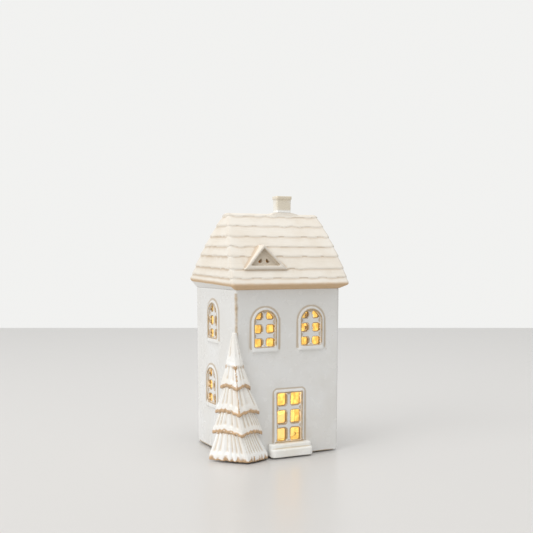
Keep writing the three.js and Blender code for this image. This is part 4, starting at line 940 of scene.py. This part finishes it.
def corner_bias(tree, place):
    """More bare clay along the walls' front left edge, and none along their other edges and their top."""
    axes = node(tree, "ShaderNodeSeparateXYZ", {0: place})
    x = maths(tree, "SUBTRACT", axes.outputs["X"], HOUSE_MIDDLE.x / MM)
    y = maths(tree, "SUBTRACT", axes.outputs["Y"], HOUSE_MIDDLE.y / MM)
    left = spread(tree, x, 5 - HOUSE_WIDTH / 2, 3 - HOUSE_WIDTH / 2)
    right = spread(tree, x, HOUSE_WIDTH / 2 - 5, HOUSE_WIDTH / 2 - 3)
    front = spread(tree, y, 5 - HOUSE_DEPTH / 2, 3 - HOUSE_DEPTH / 2)
    back = spread(tree, y, HOUSE_DEPTH / 2 - 5, HOUSE_DEPTH / 2 - 3)
    top = spread(tree, axes.outputs["Z"], WALL_TOP - 2.5, WALL_TOP - 1.2)
    more = maths(tree, "MULTIPLY", maths(tree, "MULTIPLY", left, front), 0.03)
    less = maths(tree, "MAXIMUM", maths(tree, "MULTIPLY", right, front), back)
    less = maths(tree, "MAXIMUM", less, top)
    return maths(tree, "SUBTRACT", more, less)


def glaze_material(name, white, warm, brown, pooled, bare_by, bare_range, pool_and_shade_range, coat, bias=None):
    """A glossy off-white glaze, painted darker higher up as shade, bare and brown on edges, and darker in
    hollows from pooled glaze and painted shade.
    """
    material, tree, shader = new_material(name)
    place = millimetres(tree)
    cloud = spread(tree, noise(tree, place, 22, 3), 0.35, 0.7)
    colour = blend_colour(tree, cloud, white, warm)
    # Painted shade: the colour is mixed darker and warmer higher up
    up = node(tree, "ShaderNodeSeparateXYZ", {0: place}).outputs["Z"]
    shade_higher_up = tuple(0.88 * value for value in warm)
    colour = blend_colour(tree, spread(tree, up, 60, 118, 0, 0.5), colour, shade_higher_up)
    # Hollows darker: partly glaze that pools there, partly painted shade
    pool_and_crease_shade = spread(tree, stored_value(tree, "relief"), pool_and_shade_range[0], pool_and_shade_range[1], 0, 0.7)
    colour = blend_colour(tree, pool_and_crease_shade, colour, pooled)
    bareness = stored_value(tree, bare_by)
    patchy = maths(tree, "SUBTRACT", noise(tree, place, 3.5, 3), 0.5)
    waver = maths(tree, "MULTIPLY", patchy, 0.9 * (bare_range[1] - bare_range[0]))
    edge = maths(tree, "ADD", bareness, waver)
    if bias:
        edge = maths(tree, "ADD", edge, bias(tree, place))
    broken = spread(tree, edge, bare_range[0], bare_range[1], 0, 0.95)
    brown_tone = spread(tree, noise(tree, place, 1.6, 2), 0.35, 0.65)
    darker = tuple(0.72 * value for value in brown)
    clay = blend_colour(tree, brown_tone, darker, brown)
    clay = blend_colour(tree, spread(tree, bareness, 1, 1.3), clay, tuple(0.5 * value for value in brown))
    colour = blend_colour(tree, broken, colour, clay)
    speck = spread(tree, noise(tree, place, 0.9, 1), 0.74, 0.8, 0, 0.5)
    colour = blend_colour(tree, speck, colour, brown)
    tree.links.new(colour, shader.inputs["Base Color"])
    tree.links.new(spread(tree, noise(tree, place, 8, 3), 0.3, 0.7, 0.16, 0.3), shader.inputs["Roughness"])
    shader.inputs["Coat Weight"].default_value = coat
    shader.inputs["Coat Roughness"].default_value = 0.1
    bumped(tree, shader, noise(tree, place, 2.5, 3), 0.08, 0.5)
    return material


def glow_painted_clay_material():
    """The bare inside of the house, with the lamp's golden light painted on as a glow by emission."""
    material, tree, shader = new_material("glow_painted_clay")
    place = millimetres(tree)
    tone = spread(tree, noise(tree, place, 5, 3), 0.3, 0.7)
    colour = blend_colour(tree, tone, (0.45, 0.32, 0.14), (0.68, 0.56, 0.32))
    tree.links.new(colour, shader.inputs["Base Color"])
    shader.inputs["Roughness"].default_value = 0.8
    # Painted light: the clay glows by emission as if lit by the lamp
    shader.inputs["Emission Color"].default_value = (1, 0.72, 0.22, 1)
    tree.links.new(spread(tree, tone, 0, 1, 0.4, 0.78), shader.inputs["Emission Strength"])
    bumped(tree, shader, noise(tree, place, 1.2, 4), 0.2, 0.6)
    return material


def clay_material():
    """The matt bisque roof, brushed along its courses, painted darker as shade where a course meets the next
    and on its raised edges. Its eave is tan at the front, partly bare clay and partly painted shade, and
    glazed white with a thin brown line at the other sides."""
    material, tree, shader = new_material("roof_clay")
    place = millimetres(tree)
    height = stored_value(tree, "relief")
    cloud = spread(tree, noise(tree, place, 16, 4), 0.35, 0.7)
    colour = blend_colour(tree, cloud, (0.8, 0.755, 0.68), (0.765, 0.705, 0.615))
    # Painted shade: creases where one course meets the next are darkened
    crease_shade = spread(tree, height, 0.02, -0.22, 0, 0.75)
    colour = blend_colour(tree, crease_shade, colour, (0.58, 0.45, 0.32))
    # Painted shade: raised edges such as the hips are darkened to tone down the light they catch
    edge_shade = spread(tree, height, 0.1, 0.3, 0, 0.6)
    colour = blend_colour(tree, edge_shade, colour, (0.66, 0.6, 0.52))
    axes = node(tree, "ShaderNodeSeparateXYZ", {0: place})
    front = HOUSE_MIDDLE.y / MM - HOUSE_DEPTH / 2 - EAVE_OVERHANG
    depth = HOUSE_DEPTH + EAVE_OVERHANG + EAVE_OVERHANG_BACK
    behind = maths(tree, "SUBTRACT", axes.outputs["Y"], front)
    level = maths(tree, "SUBTRACT", axes.outputs["Z"], maths(tree, "MULTIPLY", behind, EAVE_RISE / depth))
    waver = maths(tree, "MULTIPLY", maths(tree, "SUBTRACT", noise(tree, place, 6, 2), 0.5), 1.2)
    level = maths(tree, "ADD", level, waver)
    # Painted shade: the eave's downward face at the front is tan, partly bare clay and partly its shade; on
    # the other sides it stays glazed white
    under = spread(tree, level, EAVE_HEIGHT + 1.8, EAVE_HEIGHT - 0.8)
    bare = (0.67, 0.48, 0.3)
    bareness = spread(tree, level, EAVE_HEIGHT - 1.9, EAVE_HEIGHT - 1.1)
    glazed = blend_colour(tree, bareness, (0.78, 0.77, 0.75), bare)
    beside = spread(tree, behind, EAVE_OVERHANG, EAVE_OVERHANG + 1.5)
    colour = blend_colour(tree, under, colour, blend_colour(tree, beside, bare, glazed))
    tree.links.new(colour, shader.inputs["Base Color"])
    shader.inputs["Roughness"].default_value = 0.85
    shader.inputs["Specular IOR Level"].default_value = 0.25
    strokes = noise(tree, place, 0.9, 4, (0.08, 0.08, 1))
    grit = noise(tree, place, 0.5, 2)
    height_map = maths(tree, "ADD", strokes, maths(tree, "MULTIPLY", grit, 0.35))
    bumped(tree, shader, height_map, 0.22, 0.8)
    return material


def lustre_material():
    """The chimney's pearly glaze, white with gold where it is thin, and a white band round its foot that is
    partly pooled glaze and partly a painted highlight.
    """
    material, tree, shader = new_material("chimney_lustre")
    place = millimetres(tree)
    cloud = spread(tree, noise(tree, place, 11, 1), 0.35, 0.65)
    colour = blend_colour(tree, cloud, (0.84, 0.81, 0.74), (0.76, 0.69, 0.56))
    axes = node(tree, "ShaderNodeSeparateXYZ", {0: place})
    top = RIDGE_HEIGHT + CHIMNEY_SEAT_RISE + CHIMNEY_HEIGHT
    gilding = spread(tree, axes.outputs["Z"], top - 5, top - 1, 0, 0.4)
    colour = blend_colour(tree, gilding, colour, (0.64, 0.52, 0.34))
    # The white band round the foot is partly pooled glaze and partly a painted highlight
    foot = spread(tree, axes.outputs["Z"], top - CHIMNEY_HEIGHT + 2.4, top - CHIMNEY_HEIGHT + 1.2)
    colour = blend_colour(tree, foot, colour, (0.92, 0.91, 0.88))
    tree.links.new(colour, shader.inputs["Base Color"])
    tree.links.new(spread(tree, cloud, 0, 1, 0.02, 0.14), shader.inputs["Metallic"])
    tree.links.new(spread(tree, noise(tree, place, 3, 2), 0.3, 0.7, 0.14, 0.3), shader.inputs["Roughness"])
    shader.inputs["Coat Weight"].default_value = 0.6
    shader.inputs["Coat Roughness"].default_value = 0.08
    bumped(tree, shader, noise(tree, place, 4, 2), 0.06, 0.5)
    return material


def plain_material(name, colour, roughness, metallic=0.0, grain=0.6, bump=0.02):
    """A moulded or plated material with a faint grain and uneven gloss."""
    material, tree, shader = new_material(name)
    place = millimetres(tree)
    tone = spread(tree, noise(tree, place, 6, 2), 0.3, 0.7)
    darker = tuple(0.93 * value for value in colour)
    tree.links.new(blend_colour(tree, tone, darker, colour), shader.inputs["Base Color"])
    gloss = spread(tree, noise(tree, place, 3, 3), 0.3, 0.7, roughness * 0.85, roughness * 1.15)
    tree.links.new(gloss, shader.inputs["Roughness"])
    shader.inputs["Metallic"].default_value = metallic
    bumped(tree, shader, noise(tree, place, grain, 3), bump)
    return material


def glowing_material(name, colour, glow, strength):
    """Frosted or clear plastic lit from within."""
    material = plain_material(name, colour, 0.4)
    shader = material.node_tree.nodes["Principled BSDF"]
    shader.inputs["Emission Color"].default_value = (*glow, 1)
    shader.inputs["Emission Strength"].default_value = strength
    return material


# Assembly

def clothe_by(obj, materials, choose):
    """Gives each face one of some further materials by its middle, or leaves it the first one."""
    for material in materials:
        obj.data.materials.append(material)
    chosen = [choose(polygon.center) for polygon in obj.data.polygons]
    obj.data.polygons.foreach_set("material_index", chosen)


def wall_face(place):
    """Which material a face of the walls gets: 0 outside, 1 where the lamp's light is painted on as a glow, 2
    in a reveal painted dark as shade.
    """
    half_x = inner_level(place.z, SIDE_LIT_DEPTH)[1]
    half_y = inner_level(place.z, LIT_DEPTH)[2]
    if abs(place.x) < half_x and abs(place.y) < half_y and place.z > FLOOR_TOP - 0.3:
        return 1
    _, reveal_x, reveal_y, _ = inner_level(place.z, WALL_THICKNESS - REVEAL_SETBACK)
    in_front = abs(place.y) < reveal_y and abs(place.x) < HOUSE_WIDTH / 2 - WALL_THICKNESS
    in_side = abs(place.x) < reveal_x and abs(place.y) < HOUSE_DEPTH / 2 - WALL_THICKNESS
    in_reach = DOOR_BOTTOM + REVEAL_FOOT_GAP < place.z < WALL_TOP - REVEAL_TOP_GAP
    return 2 if (in_front or in_side) and in_reach else 0


def roof_face(place):
    """Which material a face of the roof gets: 0 outside, 1 in its hollow, painted dark as shade, 2 in the
    dormer's sunk face, painted darker as shade.
    """
    if place.z < EAVE_HEIGHT:
        inside = abs(place.x) < HOUSE_WIDTH / 2 - 2 and abs(place.y) < HOUSE_DEPTH / 2 - 2
        return 1 if inside else 0
    half_x, half_y, x, y = slope_at(place.z, 3)
    if abs(place.x - x) < half_x and abs(place.y - y) < half_y and place.z < RIDGE_HEIGHT - 2:
        return 1
    rise = place.z - DORMER_SILL
    depth = place.y + slope_front(DORMER_SILL) + DORMER_PROUD - rise * DORMER_LEAN / DORMER_HEIGHT
    half = (1 - rise / DORMER_HEIGHT) * DORMER_WIDTH / 2 - DORMER_RAKE
    is_sunk = 0.7 < depth < DORMER_RECESS + 6 and abs(place.x - DORMER_OFFSET) < half
    return 2 if is_sunk and rise > DORMER_SILL_HEIGHT - 0.3 else 0


def build_ceramics():
    """Makes the ceramic pieces that the photograph shows, in place of their plain solids."""
    # The inside faces get a painted glow of the lamp's light, by emission
    lit = glow_painted_clay_material()
    shell = walls()
    shell.data.materials.append(glaze_material(
        "wall_glaze", (0.825, 0.825, 0.81), (0.785, 0.775, 0.745), (0.52, 0.37, 0.2), (0.46, 0.34, 0.2),
        "relief", (0.14, 0.34), (-0.02, -0.1), 0.25, corner_bias,
    ))
    # The reveals get a dark brown that paints the shade in them
    clothe_by(shell, [lit, plain_material("reveal_painted_shade", (0.4, 0.27, 0.13), 0.6)], wall_face)
    place_piece(shell, "house", "wall_shell")

    cover = roof()
    cover.data.materials.append(clay_material())
    sunk = plain_material("sunk_painted_shade_clay", (0.66, 0.58, 0.47), 0.85)
    # The roof's hollow and the dormer's sunk face get darker clay colours that paint the shade in them
    clothe_by(cover, [plain_material("painted_shade_clay", (0.32, 0.2, 0.1), 0.85), sunk], roof_face)
    place_piece(cover, "house", "roof_shell")

    tree = fir_tree()
    tree.data.materials.append(glaze_material(
        "tree_glaze", (0.92, 0.92, 0.9), (0.88, 0.85, 0.79), (0.62, 0.38, 0.18), (0.66, 0.54, 0.39),
        "bare", (0.35, 0.75), (-0.03, -0.2), 0.6,
    ))
    place_piece(tree, "house", "fir_tree")

    step = door_step()
    step.data.materials.append(glaze_material(
        "step_glaze", (0.94, 0.935, 0.9), (0.89, 0.87, 0.8), (0.6, 0.47, 0.3), (0.62, 0.52, 0.36),
        "relief", (0.3, 0.6), (-0.04, -0.2), 0.4,
    ))
    place_piece(step, "house", "door_step")

    stack = chimney()
    stack.data.materials.append(lustre_material())
    place_piece(stack, "house", "chimney")


def dress_nodes():
    """Gives the pieces kept from the model their materials."""
    white_plastic = plain_material("lamp_plastic", (0.8, 0.8, 0.78), 0.42)
    soft_rubber = plain_material("clear_rubber", (0.72, 0.71, 0.68), 0.55, grain=1.2)
    steel = plain_material("plated_steel", (0.62, 0.63, 0.64), 0.3, 1.0, 0.3)
    cell_steel = plain_material("cell_steel", (0.7, 0.7, 0.69), 0.22, 1.0, 0.4)
    finishes = {
        "lamp_base": white_plastic,
        # The lamp's cup gets a faint painted glow by emission, though it is no lamp itself
        "lamp_cup": glowing_material("painted_glow_plastic", (0.8, 0.8, 0.78), (1, 0.72, 0.25), 0.4),
        "battery_door": white_plastic,
        "lamp_seal": soft_rubber,
        "diffuser_dome": glowing_material("frosted_dome", (0.9, 0.8, 0.6), (1, 0.62, 0.24), 14),
        "led_bulb": glowing_material("led_lens", (0.9, 0.7, 0.3), (1, 0.6, 0.2), 6),
        "circuit_board": plain_material("board_laminate", (0.03, 0.13, 0.06), 0.5, grain=0.4),
        "resistor": plain_material("resistor_black", (0.02, 0.02, 0.02), 0.6),
        "switch_case": steel,
        "switch_slider": plain_material("slider_black", (0.02, 0.02, 0.022), 0.45),
        "door_screw": steel,
        "cover_screw_left": steel,
        "cover_screw_right": steel,
        "contact_negative": plain_material("contact_brass", (0.66, 0.48, 0.2), 0.3, 1.0, 0.3),
    }
    finishes["contact_positive"] = finishes["contact_negative"]
    for corner in ("front_left", "front_right", "back_left", "back_right"):
        finishes[f"foot_pad_{corner}"] = soft_rubber
    for number in (1, 2, 3):
        finishes[f"button_cell_{number}"] = cell_steel
    for name, material in finishes.items():
        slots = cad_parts[name].data.materials
        slots.clear()
        slots.append(material)


# Stage

def add_area(name, place, target, size, power):
    """A square soft light that faces a place."""
    data = bpy.data.lights.new(name, "AREA")
    data.size = size
    data.energy = power
    light = bpy.data.objects.new(name, data)
    light.location = place
    light.rotation_euler = (Vector(target) - Vector(place)).to_track_quat("-Z", "Y").to_euler()
    bpy.context.scene.collection.objects.link(light)


def add_stage():
    """A plain pale table top that ends behind the house, a white backdrop and soft light from the left."""
    material, tree, shader = new_material("table")
    shader.inputs["Base Color"].default_value = (0.62, 0.605, 0.585, 1)
    shader.inputs["Roughness"].default_value = 0.28
    camera = bpy.context.scene.camera
    turn = math.radians(-CAMERA_TURN)
    forward = Vector((math.sin(turn), math.cos(turn), 0))
    sideways = Vector((forward.y, -forward.x, 0))
    under = Vector((camera.location.x, camera.location.y, 0))
    corners = [
        under + forward * ahead + sideways * side
        for side, ahead in rectangle(-TABLE_HALF_WIDTH, TABLE_START, TABLE_HALF_WIDTH, TABLE_END)
    ]
    floor = add_object("table", corners, [(0, 1, 2, 3)])
    floor.data.materials.append(material)

    add_area("key", (-2.3, -0.5, 1.2), (0, 0, 0.09), 1.8, 27)
    add_area("top", (-0.1, -0.15, 1.3), (0, 0, 0.1), 1.0, 7.5)

    world = bpy.data.worlds.new("world")
    world.use_nodes = True
    bpy.context.scene.world = world
    nodes = world.node_tree
    background = nodes.nodes["Background"]
    background.inputs["Color"].default_value = (1, 1, 1, 1)
    background.inputs["Strength"].default_value = 0.64
    seen = node(nodes, "ShaderNodeBackground", {"Color": (0.885, 0.885, 0.872, 1), "Strength": 1.0})
    path = node(nodes, "ShaderNodeLightPath")
    mirror = maths(nodes, "MAXIMUM", path.outputs["Is Glossy Ray"], path.outputs["Is Transmission Ray"])
    shown = maths(nodes, "MAXIMUM", path.outputs["Is Camera Ray"], mirror)
    mix = node(nodes, "ShaderNodeMixShader", {0: shown, 1: background.outputs[0], 2: seen.outputs[0]})
    nodes.links.new(mix.outputs[0], nodes.nodes["World Output"].inputs["Surface"])
    bpy.context.scene.view_settings.view_transform = "Standard"


build_ceramics()
dress_nodes()
add_stage()
